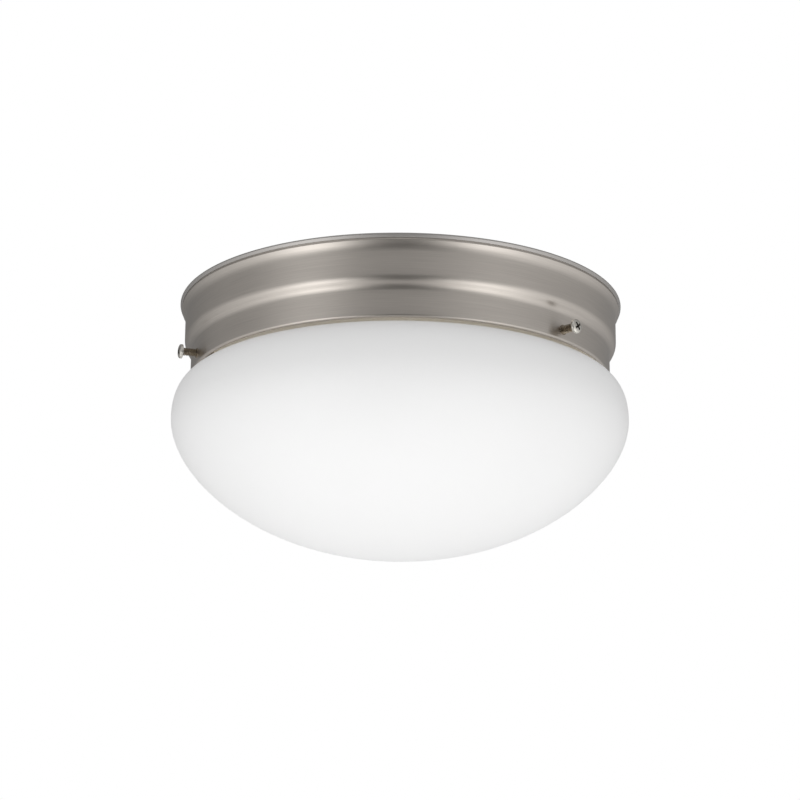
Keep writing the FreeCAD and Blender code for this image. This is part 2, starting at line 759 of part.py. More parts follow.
def lamp_insulator():
    hole = cap_hole_radius - loose_gap
    face = contact_height + loose_gap
    behind = cap_end_z + cap_sheet + loose_gap
    back = behind + insulator_back
    glass = lathed([(face, 0), (face, contact_radius), (cap_end_z, hole, insulator_round),
                    (behind, hole), (behind, hole + insulator_step),
                    (back, hole + insulator_step), (back, 0)])
    return on_lamp_axis(glass)


def lamp_contact():
    wide = contact_radius - contact_inset
    return on_lamp_axis(lathed([(0, 0), (0, wide - contact_taper, contact_round),
                                (contact_height, wide), (contact_height, 0)]))


def lamp_stem():
    """Glass mount: a flare on the neck's end, a rod and a button."""
    foot = bulb_foot - loose_gap
    flare_under = foot - stem_flare_sheet
    foot_bend, tube_bend, neck_bend, end_bend = stem_bends
    stem = lathed([(foot, stem_tube_radius), (flare_under, stem_tube_radius),
                   (flare_under, bulb_neck_radius), (foot, bulb_neck_radius),
                   (foot, bulb_neck_radius - bulb_glass - seat_gap),
                   (foot + stem_foot_height, stem_foot_radius, foot_bend),
                   (foot + stem_tube_length, stem_tube_radius, tube_bend),
                   (foot + stem_neck_length, stem_rod_radius, neck_bend),
                   (foot + stem_length, stem_rod_radius, end_bend), (foot + stem_length, 0),
                   (foot + stem_bore_end, 0),
                   (foot + stem_bore_start, stem_bore_radius, stem_bore_bend)])
    return on_lamp_axis(stem)


def lamp_filament():
    """Two lead-in wires and the coil between them, as one thin rod."""
    reach = filament_foot + filament_rise
    points = [Vector(filament_foot, 0, filament_foot_half),
              Vector(reach - filament_step, 0, filament_half),
              Vector(reach, 0, filament_half - filament_tuck),
              Vector(reach + filament_bow, 0, 0),
              Vector(reach, 0, filament_tuck - filament_half),
              Vector(reach - filament_step, 0, -filament_half),
              Vector(filament_foot, 0, -filament_foot_half)]
    return on_lamp_axis(tube(points, filament_radius, [0, *filament_bends, 0]))


# ---------------------------------------------------------------- wiring
def lead_start_z(y):
    return lamp_z + math.sqrt(holder_radius**2 - y**2) - lead_depth


def lead_route(colour):
    """From the lampholder's back, up through the bushing and into a connector."""
    y = lead_exit_ys[colour]
    end_y = connector_ys[colour]
    cross_y = bushing_y + (lead_spread if colour == "black" else -lead_spread)
    return [Vector(lead_exit_x, y, lead_start_z(y)),
            Vector(lead_exit_x, y + 0.2, plate_under_z - 13.0),
            Vector(lead_exit_x + 12.5, y + 2.5, plate_under_z - 7.0),
            Vector(bushing_x - 5.5, cross_y - 0.2, plate_under_z - 2.9),
            Vector(bushing_x + 6.0, cross_y + 0.2, connector_z - 0.4),
            Vector(connector_start - 4.5, end_y - 0.2, connector_z),
            Vector(connector_start + connector_grip, end_y, connector_z + 0.05)]


def lead(colour):
    points = lead_route(colour)
    radii = lead_radii(points)
    solid = tube(points, lead_radius, radii)
    length = sum(edge.Length for edge in joined_edges(points, radii, False))
    share = solid.Volume / (math.pi * lead_radius**2 * length)
    print("lead", colour, "length", round(length, 1), "bend radii",
          [round(radius, 1) for radius in radii[1:-1]], "volume ratio", round(share, 3))
    return solid


def wire_connector(y):
    start = connector_start
    end = start + connector_length
    bore = lead_radius + connector_wall_gap
    bore_end = start + connector_grip + connector_end_room
    mouth_bend, skirt_bend, end_bend = connector_bends
    body = lathed([(start, bore), (start, connector_radius, mouth_bend),
                   (start + connector_skirt, connector_radius, skirt_bend),
                   (end, connector_end_radius, end_bend), (end, 0), (bore_end, 0),
                   (bore_end, bore)])
    return body.translated(Vector(0, y, connector_z))


def wire_connectors():
    return Part.makeCompound([wire_connector(y) for y in connector_ys.values()])


def lead_bushing():
    grip = plate_sheet / 2 + loose_gap
    bushing = turned(outline([
        (bushing_bore_radius, -grip - bushing_lip, bushing_bore_round),
        (bushing_hole_radius + bushing_flange, -grip - bushing_lip, bushing_flange_round),
        (bushing_hole_radius + bushing_flange, -grip),
        (bushing_hole_radius - loose_gap, -grip), (bushing_hole_radius - loose_gap, grip),
        (bushing_hole_radius + bushing_flange / 2, grip),
        (bushing_hole_radius - loose_gap, grip + 2 * bushing_lip),
        (bushing_bore_radius, grip + 2 * bushing_lip, bushing_bore_round)]))
    return bushing.translated(Vector(bushing_x, bushing_y, plate_top_z - plate_sheet / 2))


def ground_rivet():
    over_plate = ground_ring_sheet + loose_gap
    return rivet(plate_sheet + over_plate).translated(ground_rivet_place + Z_AXIS * over_plate)


def ground_eye(centre, bore, towards):
    """Flat eyelet with a tab along Y for the wire."""
    ring = cylinder(ground_ring_radius, ground_ring_sheet, centre)
    low_y = min(0, towards * ground_tab_length)
    tab = Part.makeBox(ground_tab_width, ground_tab_length, ground_ring_sheet,
                       centre + Vector(-ground_tab_width / 2, low_y, 0))
    hole = cylinder(bore + loose_gap, ground_ring_sheet, centre)
    return ring.fuse(tab).removeSplitter().cut(hole)


def ground_lead():
    """Bare copper wire with an eyelet at each end."""
    bar_eye = Vector(ground_screw_x, 0, -bar_sheet - loose_gap - ground_ring_sheet)
    plate_eye = ground_rivet_place + Vector(0, 0, loose_gap)
    start = bar_eye + Vector(0, -ground_wire_lap,
                             ground_ring_sheet - ground_wire_radius - loose_gap)
    end = plate_eye + Vector(0, ground_wire_lap, ground_wire_radius)
    points = [start, start + Vector(-0.3, -5.5, -0.2), start + Vector(-3.5, -9.5, -2.6),
              end + Vector(0.3, 3.5, 0.5), end]
    wire = tube(points, ground_wire_radius, lead_radii(points))
    return wire.fuse([ground_eye(bar_eye, screw_radius, -1), ground_eye(plate_eye, rivet_radius, 1)])


# ---------------------------------------------------------------- the light
nodes = {
    "canopy_shell": canopy_shell(),
    "back_plate": back_plate(),
    "insulation_pad": insulation_pad(),
    "crossbar": crossbar(),
    "mounting_screws": mounting_screws(),
    "ground_screw": ground_screw(),
    "ground_lead": ground_lead(),
    "ground_rivet": ground_rivet(),
    "clinch_nuts": clinch_nuts(),
    "glass_shade": glass_shade(),
    "lamp_bracket": lamp_bracket(),
    "bracket_rivets": bracket_rivets(),
    "holder_body": holder_body(),
    "holder_screw": holder_screw(),
    "screw_shell": screw_shell(),
    "centre_contact": centre_contact(),
    "lamp_envelope": lamp_envelope(),
    "lamp_cap": lamp_cap(),
    "lamp_insulator": lamp_insulator(),
    "lamp_contact": lamp_contact(),
    "lamp_stem": lamp_stem(),
    "lamp_filament": lamp_filament(),
    "lead_black": lead("black"),
    "lead_white": lead("white"),
    "lead_bushing": lead_bushing(),
    "wire_connectors": wire_connectors(),
}
for place, azimuth in screw_azimuths.items():
    nodes["glass_screw_" + place] = at_azimuth(glass_screw(), azimuth)
    nodes["screw_tip_" + place] = at_azimuth(screw_tip(), azimuth)

os.makedirs("parts", exist_ok=True)
for name, shape in nodes.items():
    shape.exportStep("parts/" + name + ".step")
    box = shape.BoundBox
    print(name, len(shape.Solids), "solids", "valid" if shape.isValid() else "INVALID",
          round(shape.Volume, 1), [round(v, 1) for v in (box.XMin, box.XMax, box.YMin, box.YMax,
                                                         box.ZMin, box.ZMax)])
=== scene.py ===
import math

import bmesh
import bpy
from bpy.props import FloatProperty, FloatVectorProperty, PointerProperty
from mathutils import Matrix, Vector


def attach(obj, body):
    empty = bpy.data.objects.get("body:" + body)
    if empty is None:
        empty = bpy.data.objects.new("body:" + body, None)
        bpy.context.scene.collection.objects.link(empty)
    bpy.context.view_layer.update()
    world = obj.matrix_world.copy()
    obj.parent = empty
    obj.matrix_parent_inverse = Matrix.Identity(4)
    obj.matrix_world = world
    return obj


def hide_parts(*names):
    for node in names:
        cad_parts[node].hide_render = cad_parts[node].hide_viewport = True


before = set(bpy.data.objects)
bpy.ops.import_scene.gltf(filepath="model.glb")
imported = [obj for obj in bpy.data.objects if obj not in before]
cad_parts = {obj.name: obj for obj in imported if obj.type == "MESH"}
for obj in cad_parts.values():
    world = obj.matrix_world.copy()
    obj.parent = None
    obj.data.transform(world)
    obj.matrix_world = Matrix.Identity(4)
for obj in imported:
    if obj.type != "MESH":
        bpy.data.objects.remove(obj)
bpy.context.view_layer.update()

bl_info = {
    "name": "Flush mount ceiling light",
    "version": (1, 0, 0),
    "blender": (4, 5, 0),
    "location": "3D View > Sidebar > Ceiling Light",
    "description": "Builds the visible pieces of a stepped nickel ceiling light with an opal shade",
    "category": "Object",
}

MM = 0.001
AROUND = 256                  # segments round the light's upright axis
SCREW_AZIMUTHS = {"right": 47.75, "left": -72.25, "back": 167.75}
CROSS_FLOOR = (1, 0.55, 0.8)  # how far a screw's cross narrows towards its floor
ORIGIN = (0.0, 0.0, 0.0)


def length(name, millimetres, description):
    """A size that shows in the panel, given in millimetres."""
    return FloatProperty(name=name, description=description, default=millimetres * MM,
                         unit="LENGTH", precision=5)


def colour(name, red, green, blue, description):
    return FloatVectorProperty(name=name, description=description, subtype="COLOR", size=3,
                               default=(red, green, blue), min=0.0, max=1.0)


# ------------------------------------------------------------------ sizes and colours
class CanopySizes(bpy.types.PropertyGroup):
    """The drawn ring and the plate whose edge is rolled round it."""
    wall_radius: length("Wall radius", 111.6, "Outside of the tall upper wall")
    depth: length("Depth", 40.6, "Ceiling to the bottom of the canopy")
    wall_step: length("Wall step", 3.4, "How far the lower wall is set in")
    lower_wall_height: length("Lower wall height", 15.15, "Bottom to the foot of the shoulder")
    shoulder_height: length("Shoulder height", 3.4, "Between the two corners of the shoulder")
    shoulder_bend: length("Shoulder bend", 5.0, "Radius of the shoulder's two bends")
    sheet: length("Sheet", 0.6, "Thickness of the ring")
    lip_turn: length("Lip turn", 1.5, "Width of the in-turned lip")
    lip_bend: length("Lip bend", 1.2, "Radius between the lower wall and the lip")
    cove_height: length("Cove height", 6.0, "Ceiling to the corner that the cove rounds")
    cove_bend: length("Cove bend", 8.3, "Radius of the cove")
    cove_flare: length("Cove flare", 1.9, "How far the cove's edge stands out from the wall")
    cove_edge: length("Cove edge", 0.5, "Radius of the cove's edge")
    groove_depth: length("Groove depth", 0.28, "Depth of the groove above the cove")
    groove_height: length("Groove height", 1.0, "Height of the groove above the cove")
    groove_slope: length("Groove slope", 0.7, "Height over which the groove slopes in")
    groove_bend: length("Groove bend", 0.2, "Radius of the groove's bends")
    plate_sheet: length("Plate sheet", 0.7, "Thickness of the back plate")
    rim_overhang: length("Rim overhang", 2.8, "How far the rim bead stands out from the wall")
    bead_bend: length("Bead bend", 0.5, "Radius of the rim bead's edges")
    bead_slope: length("Bead slope", 0.8, "How far the rim bead's face slopes in")
    flange_inset: length("Flange inset", 1.5, "Rim to the edge of the flange in the hem")
    hem_gap: length("Hem gap", 0.05, "Between the hem and the flange in it")
    hem_inset: length("Hem inset", 0.1, "Between the hem's edge and the groove")
    recess_inset: length("Recess inset", 14.4, "Rim to the wall of the wiring recess")
    recess_depth: length("Recess depth", 9.0, "Depth of the wiring recess")
    recess_bend: length("Recess bend", 2.2, "Radius of the recess's bends")
    recess_slope: length("Recess slope", 2.0, "How far the recess's wall leans")


class ShadeSizes(bpy.types.PropertyGroup):
    """The blown shade, with a rolled fitter edge above a narrower neck."""
    wall: length("Wall", 3.0, "Thickness of the glass")
    fitter_radius: length("Fitter radius", 103.0, "Outside of the fitter edge")
    neck_radius: length("Neck radius", 98.5, "Outside of the neck")
    fitter_top: length("Fitter top", -28.52, "Height of the fitter edge's top")
    fitter_under: length("Fitter underside", -32.52, "Height of the fitter edge's underside")
    fitter_bend: length("Fitter bend", 1.6, "Radius of the fitter edge's corners")
    mouth_bend: length("Mouth bend", 0.8, "Radius inside the fitter edge's top")
    neck_corner: length("Neck corner", 1.0, "Radius between the fitter edge and the neck")
    neck_bend: length("Neck bend", 4.2, "Radius between the neck and the shoulder")
    shoulder: length("Shoulder", -41.4, "Height of the shoulder beside the neck")
    widest_radius: length("Widest radius", 117.5, "Outside at the widest circle")
    widest: length("Widest height", -62.0, "Height of the widest circle")
    shoulder_handle: length("Shoulder handle", 19.0, "How long the side stays upright above")
    bowl_depth: length("Bowl depth", 67.5, "Widest circle to the bottom")
    bowl_side: length("Bowl side", 27.5, "How long the side stays upright below")
    bowl_bottom: length("Bowl bottom", 69.8, "How far the bottom stays level")


class ScrewSizes(bpy.types.PropertyGroup):
    """Machine screws with a pan head and a cross recess."""
    radius: length("Radius", 2.08, "Outside of the thread")
    root: length("Root", 1.66, "Radius at the bottom of the thread")
    pitch: length("Pitch", 0.79375, "Advance for each turn")
    shade_length: length("Shade screw length", 15.9, "Under the head of a shade screw")
    mounting_length: length("Mounting screw length", 9.5, "Under the head of a mounting screw")
    head_radius: length("Head radius", 3.6, "Outside of the head")
    head_height: length("Head height", 1.9, "Height of the head")
    head_side: length("Head side", 0.95, "Height of the head's upright side")
    recess_width: length("Recess width", 1.05, "Width of the cross recess")
    recess_span: length("Recess span", 4.4, "From end to end of the cross recess")
    recess_depth: length("Recess depth", 1.6, "Depth of the cross recess")
    recess_turn: FloatProperty(name="Recess turn", description="Turn of the shade screws' crosses",
                               default=math.radians(38), subtype="ANGLE")
    hole_radius: length("Hole radius", 2.56, "Of the holes in the canopy's wall")
    end_radius: length("End distance", 99.8, "From the light's axis to a shade screw's end")
    height: length("Height", -34.9, "Height of the shade screws' axes")
    stem_radius: length("Stem radius", 0.83, "Of the hole for the soft tip's stem")
    stem_depth: length("Stem depth", 4.0, "Of the hole for the soft tip's stem")
    spacing: length("Spacing", 50.8, "Between the two mounting screws")


class WiringSizes(bpy.types.PropertyGroup):
    """What the plate carries inside and on its ceiling side."""
    keyhole_offset: length("Keyhole offset", 9.0, "Entry hole to the mounting screw's seat")
    keyhole_radius: length("Keyhole radius", 4.55, "Of a keyhole's entry")
    keyhole_slot: length("Keyhole slot", 2.4, "Half the width of a keyhole's slot")
    bushing_x: length("Bushing X", -47.0, "Place of the wire hole")
    bushing_y: length("Bushing Y", 15.0, "Place of the wire hole")
    bushing_hole: length("Bushing hole", 7.5, "Radius of the wire hole")
    rivet_hole: length("Rivet hole", 2.05, "Radius of the rivets' holes")
    bracket_rivet_x: length("Bracket rivet X", -69.8, "Place of the bracket's rivets")
    bracket_rivet_y: length("Bracket rivet Y", 4.5, "Place of the bracket's rivets")
    ground_rivet_x: length("Ground rivet X", -24.0, "Place of the ground wire's rivet")
    ground_rivet_y: length("Ground rivet Y", -27.0, "Place of the ground wire's rivet")
    pad_inner: length("Pad bore", 60.0, "Inside radius of the insulation")
    pad_outer: length("Pad radius", 96.0, "Outside radius of the insulation")
    pad_low: length("Pad underside", -8.7, "Height of the insulation's underside")
    pad_high: length("Pad top", -3.0, "Height of the insulation's top")
    pad_bend: length("Pad bend", 1.8, "Radius of the insulation's upper edges")
    pad_foot: length("Pad foot", 0.8, "Radius of the insulation's lower edges")
    pad_tuft: length("Pad tuft", 2.4, "Height of the insulation's tufts")
    pad_hole: length("Pad hole", 4.4, "Radius of the insulation's holes over the rivets")
    connector_radius: length("Connector radius", 4.2, "Outside of a wire connector")
    connector_length: length("Connector length", 18.0, "Of a wire connector")
    connector_bore: length("Connector bore", 1.35, "Radius of a wire connector's mouth")
    connector_reach: length("Connector reach", 9.5, "How deep the bore goes")
    connector_skirt: length("Connector skirt", 7.0, "Mouth to where the tapered grip starts")
    connector_flute: length("Connector flute", 0.35, "Depth of the grip's flutes")
    connector_x: length("Connector X", -24.0, "Where the wire connectors' mouths are")
    connector_z: length("Connector Z", -4.5, "Height of the wire connectors' axes")
    black_connector_y: length("Black connector Y", 25.0, "Place of the black lead's connector")
    white_connector_y: length("White connector Y", 14.8, "Place of the white lead's connector")


class Colours(bpy.types.PropertyGroup):
    """The colours of the finishes."""
    nickel_light: colour("Nickel, light", 0.69, 0.64, 0.588, "Brushed nickel along its grain")
    nickel_dark: colour("Nickel, dark", 0.572, 0.53, 0.485, "Brushed nickel in its scratches")
    screw_nickel: colour("Screw nickel", 0.80, 0.77, 0.71, "Plating of the shade screws' heads")
    # painted shade: the shade screws' threads are coloured darker, standing in for the dark
    # reflection of the canopy above them
    thread_painted_shade: colour("Shaded thread", 0.42, 0.36, 0.28, "Threads of the shade screws")
    # painted shade: near black in the cross recesses of the shade screws
    recess_painted_shade: colour("Dark recess", 0.17, 0.15, 0.13, "Grime in the crosses of the screws")
    opal: colour("Opal glass", 0.90, 0.90, 0.90, "Body of the shade")
    # painted glow: the shade emits this light though it is no lamp, standing in for light passed
    # through the opal wall
    painted_glow: colour("Painted light", 1.0, 1.0, 1.0, "Light that the opal wall passes on")
    # painted glow, warmer at the neck, standing in for light bounced off the nickel in the canopy's
    # gap
    painted_neck_glow: colour("Neck light", 1.0, 0.86, 0.62, "The same, warmed in the canopy's gap")
    zinc: colour("Zinc", 0.60, 0.61, 0.63, "Plated steel inside")
    copper: colour("Copper", 0.86, 0.44, 0.28, "Bare wire")
    brass: colour("Brass", 0.80, 0.61, 0.28, "Lampholder's shell and contact")
    porcelain: colour("Porcelain", 0.86, 0.84, 0.79, "Lampholder's body")
    glass_fibre: colour("Glass fibre", 0.83, 0.72, 0.42, "Insulation")
    connector: colour("Connector", 0.80, 0.24, 0.03, "Wire connectors")


class CeilingLight(bpy.types.PropertyGroup):
    """Everything a user can change about the light."""
    canopy: PointerProperty(type=CanopySizes)
    shade: PointerProperty(type=ShadeSizes)
    screw: PointerProperty(type=ScrewSizes)
    wiring: PointerProperty(type=WiringSizes)
    colours: PointerProperty(type=Colours)


# ------------------------------------------------------------------ outlines
def bend(before, corner, after, radius, step=math.radians(7.5)):
    """Points along the arc of a radius that rounds a corner."""
    back = (before - corner).normalized()
    ahead = (after - corner).normalized()
    half = back.angle(ahead) / 2
    turn = math.pi - 2 * half
    if radius <= 0 or turn < 1e-4:
        return [corner]
    centre = corner + (back + ahead).normalized() * (radius / math.sin(half))
    start = corner + back * (radius / math.tan(half)) - centre
    sign = 1 if back.x * ahead.y - back.y * ahead.x < 0 else -1
    count = max(2, math.ceil(turn / step))
    points = []
    for i in range(count + 1):
        angle = sign * turn * i / count
        points.append(centre + Vector((start.x * math.cos(angle) - start.y * math.sin(angle),
                                       start.x * math.sin(angle) + start.y * math.cos(angle))))
    return points


def rounded(corners, closed=True):
    """(radius, height, corner radius) points of an outline, as points with its arcs drawn."""
    places = [Vector(c[:2]) for c in corners]
    points = []
    for i, corner in enumerate(corners):
        inner = closed or 0 < i < len(corners) - 1
        if len(corner) > 2 and corner[2] > 0 and inner:
            points += bend(places[i - 1], places[i], places[(i + 1) % len(places)], corner[2])
        else:
            points.append(places[i])
    return points


def sheet_corners(corners, thickness):
    """Closed outline of a bent sheet: one side's corners, and the other side to their left."""
    places = [Vector(c[:2]) for c in corners]
    radii = [c[2] if len(c) > 2 else 0 for c in corners]
    runs = [(b - a).normalized() for a, b in zip(places, places[1:])]
    normals = [Vector((-run.y, run.x)) for run in runs]
    far = [(*(places[0] + normals[0] * thickness), 0)]
    for i in range(1, len(places) - 1):
        mitre = (normals[i - 1] + normals[i]).normalized()
        place = places[i] + mitre * (thickness / mitre.dot(normals[i]))
        turn = runs[i - 1].x * runs[i].y - runs[i - 1].y * runs[i].x
        far.append((*place, max(radii[i] - thickness if turn > 0 else radii[i] + thickness, 0)))
    far.append((*(places[-1] + normals[-1] * thickness), 0))
    near = [(*place, radius) for place, radius in zip(places, radii)]
    return near + far[::-1]


def curve(poles, count):
    """Points along a Bezier curve through its poles, without its first."""
    points = []
    for i in range(1, count + 1):
        level = [Vector(p) for p in poles]
        while len(level) > 1:
            level = [a.lerp(b, i / count) for a, b in zip(level, level[1:])]
        points.append(level[0])
    return points


def split_runs(points, longest):
    """The same closed outline with its long straight runs divided."""
    divided = []
    for a, b in zip(points, points[1:] + points[:1]):
        count = max(1, math.ceil((b - a).length / longest))
        divided += [a.lerp(b, i / count) for i in range(count)]
    return divided


# ------------------------------------------------------------------ modelling by hand
def clear_selection():
    if bpy.context.object and bpy.context.object.mode != "OBJECT":
        bpy.ops.object.mode_set(mode="OBJECT")
    bpy.ops.object.select_all(action="DESELECT")


def choose(piece, *others):
    """Makes a piece active, with nothing else selected but the others."""
    clear_selection()
    for other in others:
        other.select_set(True)
    piece.select_set(True)
    bpy.context.view_layer.objects.active = piece


def named(name):
    piece = bpy.context.object
    piece.name = name
    piece.data.name = name
    return piece


def pick(piece, kind, test):
    """In edit mode, selects only the vertices, edges or faces that pass a test."""
    bpy.ops.mesh.select_all(action="DESELECT")
    mesh = bmesh.from_edit_mesh(piece.data)
    for item in getattr(mesh, kind):
        if test(item):
            item.select_set(True)
    mesh.select_flush(True)
    bmesh.update_edit_mesh(piece.data)


def draw(name, points, closed=True):
    """A wire through (distance, height) points in the X-Z plane, left open in edit mode."""
    clear_selection()
    bpy.ops.mesh.primitive_plane_add(size=MM, location=ORIGIN, enter_editmode=True)
    piece = named(name)
    bpy.ops.mesh.select_mode(type="VERT")
    bpy.ops.mesh.select_all(action="SELECT")
    bpy.ops.mesh.merge(type="CENTER")
    bpy.ops.transform.translate(value=(points[0][0], 0, points[0][1]))
    for a, b in zip(points, points[1:]):
        bpy.ops.mesh.extrude_vertices_move(
            TRANSFORM_OT_translate={"value": (b[0] - a[0], 0, b[1] - a[1])})
    if closed:
        ends = [Vector((p[0], 0, p[1])) for p in (points[0], points[-1])]
        pick(piece, "verts", lambda v: min((v.co - end).length for end in ends) < 0.001 * MM)
        bpy.ops.mesh.edge_face_add()
    return piece


def turn(name, points, axis=(0, 0, 1), steps=AROUND):
    """A piece turned about an axis through the origin from its closed outline."""
    piece = draw(name, points)
    bpy.ops.mesh.select_all(action="SELECT")
    bpy.ops.mesh.spin(steps=steps, angle=math.tau, center=ORIGIN, axis=axis)
    tidy_mesh()
    bpy.ops.object.mode_set(mode="OBJECT")
    return piece


def tidy_mesh(distance=2e-6):
    """In edit mode, merges what lies together and turns all faces outwards."""
    bpy.ops.mesh.select_all(action="SELECT")
    bpy.ops.mesh.remove_doubles(threshold=distance)
    bpy.ops.mesh.dissolve_degenerate(threshold=1e-7)
    bpy.ops.mesh.delete_loose()
    bpy.ops.mesh.select_all(action="SELECT")
    bpy.ops.mesh.normals_make_consistent(inside=False)


def rod(radius, depth, centre, axis="Z", sides=32):
    """A plain cylinder to cut a hole with."""
    clear_selection()
    turned = {"X": (0, math.pi / 2, 0), "Z": ORIGIN}[axis]
    bpy.ops.mesh.primitive_cylinder_add(vertices=sides, radius=radius, depth=depth,
                                        location=centre, rotation=turned)
    return named("cutter")


def block(size, centre):
    clear_selection()
    bpy.ops.mesh.primitive_cube_add(size=1, location=centre, scale=size)
    return named("cutter")


def place_in_mesh(piece):
    """Puts the piece's place, turn and scale into its mesh."""
    choose(piece)
    bpy.ops.object.transform_apply(location=True, rotation=True, scale=True)


def swing(piece, azimuth):
    """Turns a piece modelled along +X about the upright axis to an azimuth from the front."""
    piece.rotation_euler = (0, 0, math.radians(azimuth - 90))
    place_in_mesh(piece)


def copies(model, names):
    """Copies of a piece, each with its own mesh, in place of the first."""
    made = []
    for name in names:
        choose(model)
        bpy.ops.object.duplicate()
        made.append(named(name))
    choose(model)
    bpy.ops.object.delete()
    return made


def combine(piece, others, operation):
    """Cuts the others from the piece, or adds them to it, and removes them."""
    for other in others:
        choose(piece)
        bpy.ops.object.modifier_add(type="BOOLEAN")
        modifier = piece.modifiers[-1]
        modifier.operation = operation
        modifier.solver = "EXACT"
        modifier.object = other
        bpy.ops.object.modifier_apply(modifier=modifier.name)
        choose(other)
        bpy.ops.object.delete()
    return piece


def smooth(piece, degrees=32):
    choose(piece)
    bpy.ops.object.shade_smooth_by_angle(angle=math.radians(degrees))


def dress(piece, body, finish, replaces=()):
    """Finishes a new piece: puts its place into its mesh, gives it its material, hides the parts it
    replaces and hangs it on its body.
    """
    place_in_mesh(piece)
    piece.data.materials.clear()
    piece.data.materials.append(finish)
    if replaces:
        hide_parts(*replaces)
    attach(piece, body)


# ------------------------------------------------------------------ material nodes
class Signal:
    """A number that varies over a surface. Expressions on it add Math nodes."""

    def __init__(self, graph, socket):
        self.graph = graph
        self.socket = socket

    def math(self, operation, *values):
        inputs = dict(enumerate(values))
        return self.graph.node("ShaderNodeMath", {"operation": operation}, inputs)

    def __add__(self, other):
        return self.math("ADD", self, other)

    def __radd__(self, other):
        return self.math("ADD", other, self)

    def __sub__(self, other):
        return self.math("SUBTRACT", self, other)

    def __rsub__(self, other):
        return self.math("SUBTRACT", other, self)

    def __mul__(self, other):
        return self.math("MULTIPLY", self, other)

    def __rmul__(self, other):
        return self.math("MULTIPLY", other, self)

    def __truediv__(self, other):
        return self.math("DIVIDE", self, other)

    def __pow__(self, other):
        return self.math("POWER", self, other)


class Graph:
    """A node tree and the one way that nodes are added to it."""

    def __init__(self, tree):
        self.tree = tree
        tree.nodes.clear()

    def node(self, kind, settings=None, inputs=None, output=0):
        made = self.tree.nodes.new(kind)
        for name, value in (settings or {}).items():
            setattr(made, name, value)
        for name, value in (inputs or {}).items():
            self.feed(made.inputs[name], value)
        return Signal(self, made.outputs[output] if len(made.outputs) else None)

    def feed(self, socket, value):
        if isinstance(value, Signal):
            self.tree.links.new(value.socket, socket)
        elif isinstance(value, (int, float)) or socket.type == "VALUE":
            socket.default_value = value
        else:
            value = tuple(value)
            size = len(socket.default_value)
            socket.default_value = value if len(value) == size else value + (1.0,)

    def place(self):
        """Object coordinates, in metres."""
        return self.node("ShaderNodeTexCoord", output="Object")

    def split(self, vector):
        parts = self.node("ShaderNodeSeparateXYZ", inputs={0: vector}).socket.node
        return [Signal(self, socket) for socket in parts.outputs]

    def join(self, x, y, z):
        return self.node("ShaderNodeCombineXYZ", inputs={0: x, 1: y, 2: z})

    def noise(self, vector, scale, detail=2.0, roughness=0.5):
        return self.node("ShaderNodeTexNoise", {"noise_dimensions": "3D"},
                         {"Vector": vector, "Scale": scale, "Detail": detail,
                          "Roughness": roughness})

    def cells(self, vector, scale, feature="F1", output="Distance"):
        return self.node("ShaderNodeTexVoronoi", {"feature": feature},
                         {"Vector": vector, "Scale": scale}, output)

    def larger(self, first, second):
        return first.math("MAXIMUM", first, second)

    def between(self, signal, low, high):
        """0 below low, 1 above high, and a smooth step between."""
        return self.node("ShaderNodeMapRange", {"interpolation_type": "SMOOTHSTEP"},
                         {"Value": signal, "From Min": low, "From Max": high})

    def mix(self, factor, first, second):
        return self.node("ShaderNodeMix", {"data_type": "RGBA"},
                         {"Factor": factor, 6: first, 7: second}, output=2)

    def bump(self, height, strength, distance):
        return self.node("ShaderNodeBump", inputs={"Height": height, "Strength": strength,
                                                   "Distance": distance})


class Finish(Graph):
    """A material on one Principled shader: uniform values on its sockets, and varying inputs."""

    def __init__(self, name, uniform):
        self.material = bpy.data.materials.new(name)
        self.material.use_nodes = True
        super().__init__(self.material.node_tree)
        shader = self.node("ShaderNodeBsdfPrincipled", inputs=uniform)
        self.shader = shader.socket.node
        self.node("ShaderNodeOutputMaterial", inputs={"Surface": shader})

    def vary(self, **inputs):
        for name, value in inputs.items():
            self.feed(self.shader.inputs[name.replace("_", " ")], value)
        return self.material


def shades(rgb, low, high):
    """A colour made darker and lighter."""
    return [tuple(min(1.0, part * share) for part in rgb) for share in (low, high)]


def ring_grain(graph, fineness, long_share=5.0):
    """Noise drawn out round the upright axis, as a wheel leaves it on a turned piece."""
    x, y, z = graph.split(graph.place())
    radius = graph.larger((x * x + y * y) ** 0.5, 1e-4)
    around = graph.join(x / radius * long_share, y / radius * long_share,
                        z * fineness + radius * (0.6 * fineness))
    return graph.noise(around, 1.0, 3.0, 0.65)


def brushed_nickel(colours):
    """Satin nickel, wheel-brushed round the canopy, with the odd longer scratch."""
    finish = Finish("brushed_nickel", {"Metallic": 1.0, "Anisotropic": 0.72,
                                       "Anisotropic Rotation": 0.25, "Specular Tint": (1, 1, 1)})
    fine = ring_grain(finish, 3800.0)
    coarse = ring_grain(finish, 1300.0, 2.0)
    cloud = finish.noise(finish.place(), 14.0, 3.0)
    tone = finish.between(fine * 0.55 + coarse * 0.25 + cloud * 0.2, 0.25, 0.75)
    return finish.vary(
        Base_Color=finish.mix(tone, colours.nickel_dark, colours.nickel_light),
        Roughness=0.28 + fine * 0.06 + cloud * 0.06,
        Normal=finish.bump(fine * 0.8 + coarse * 0.2, 0.25, 0.00003))


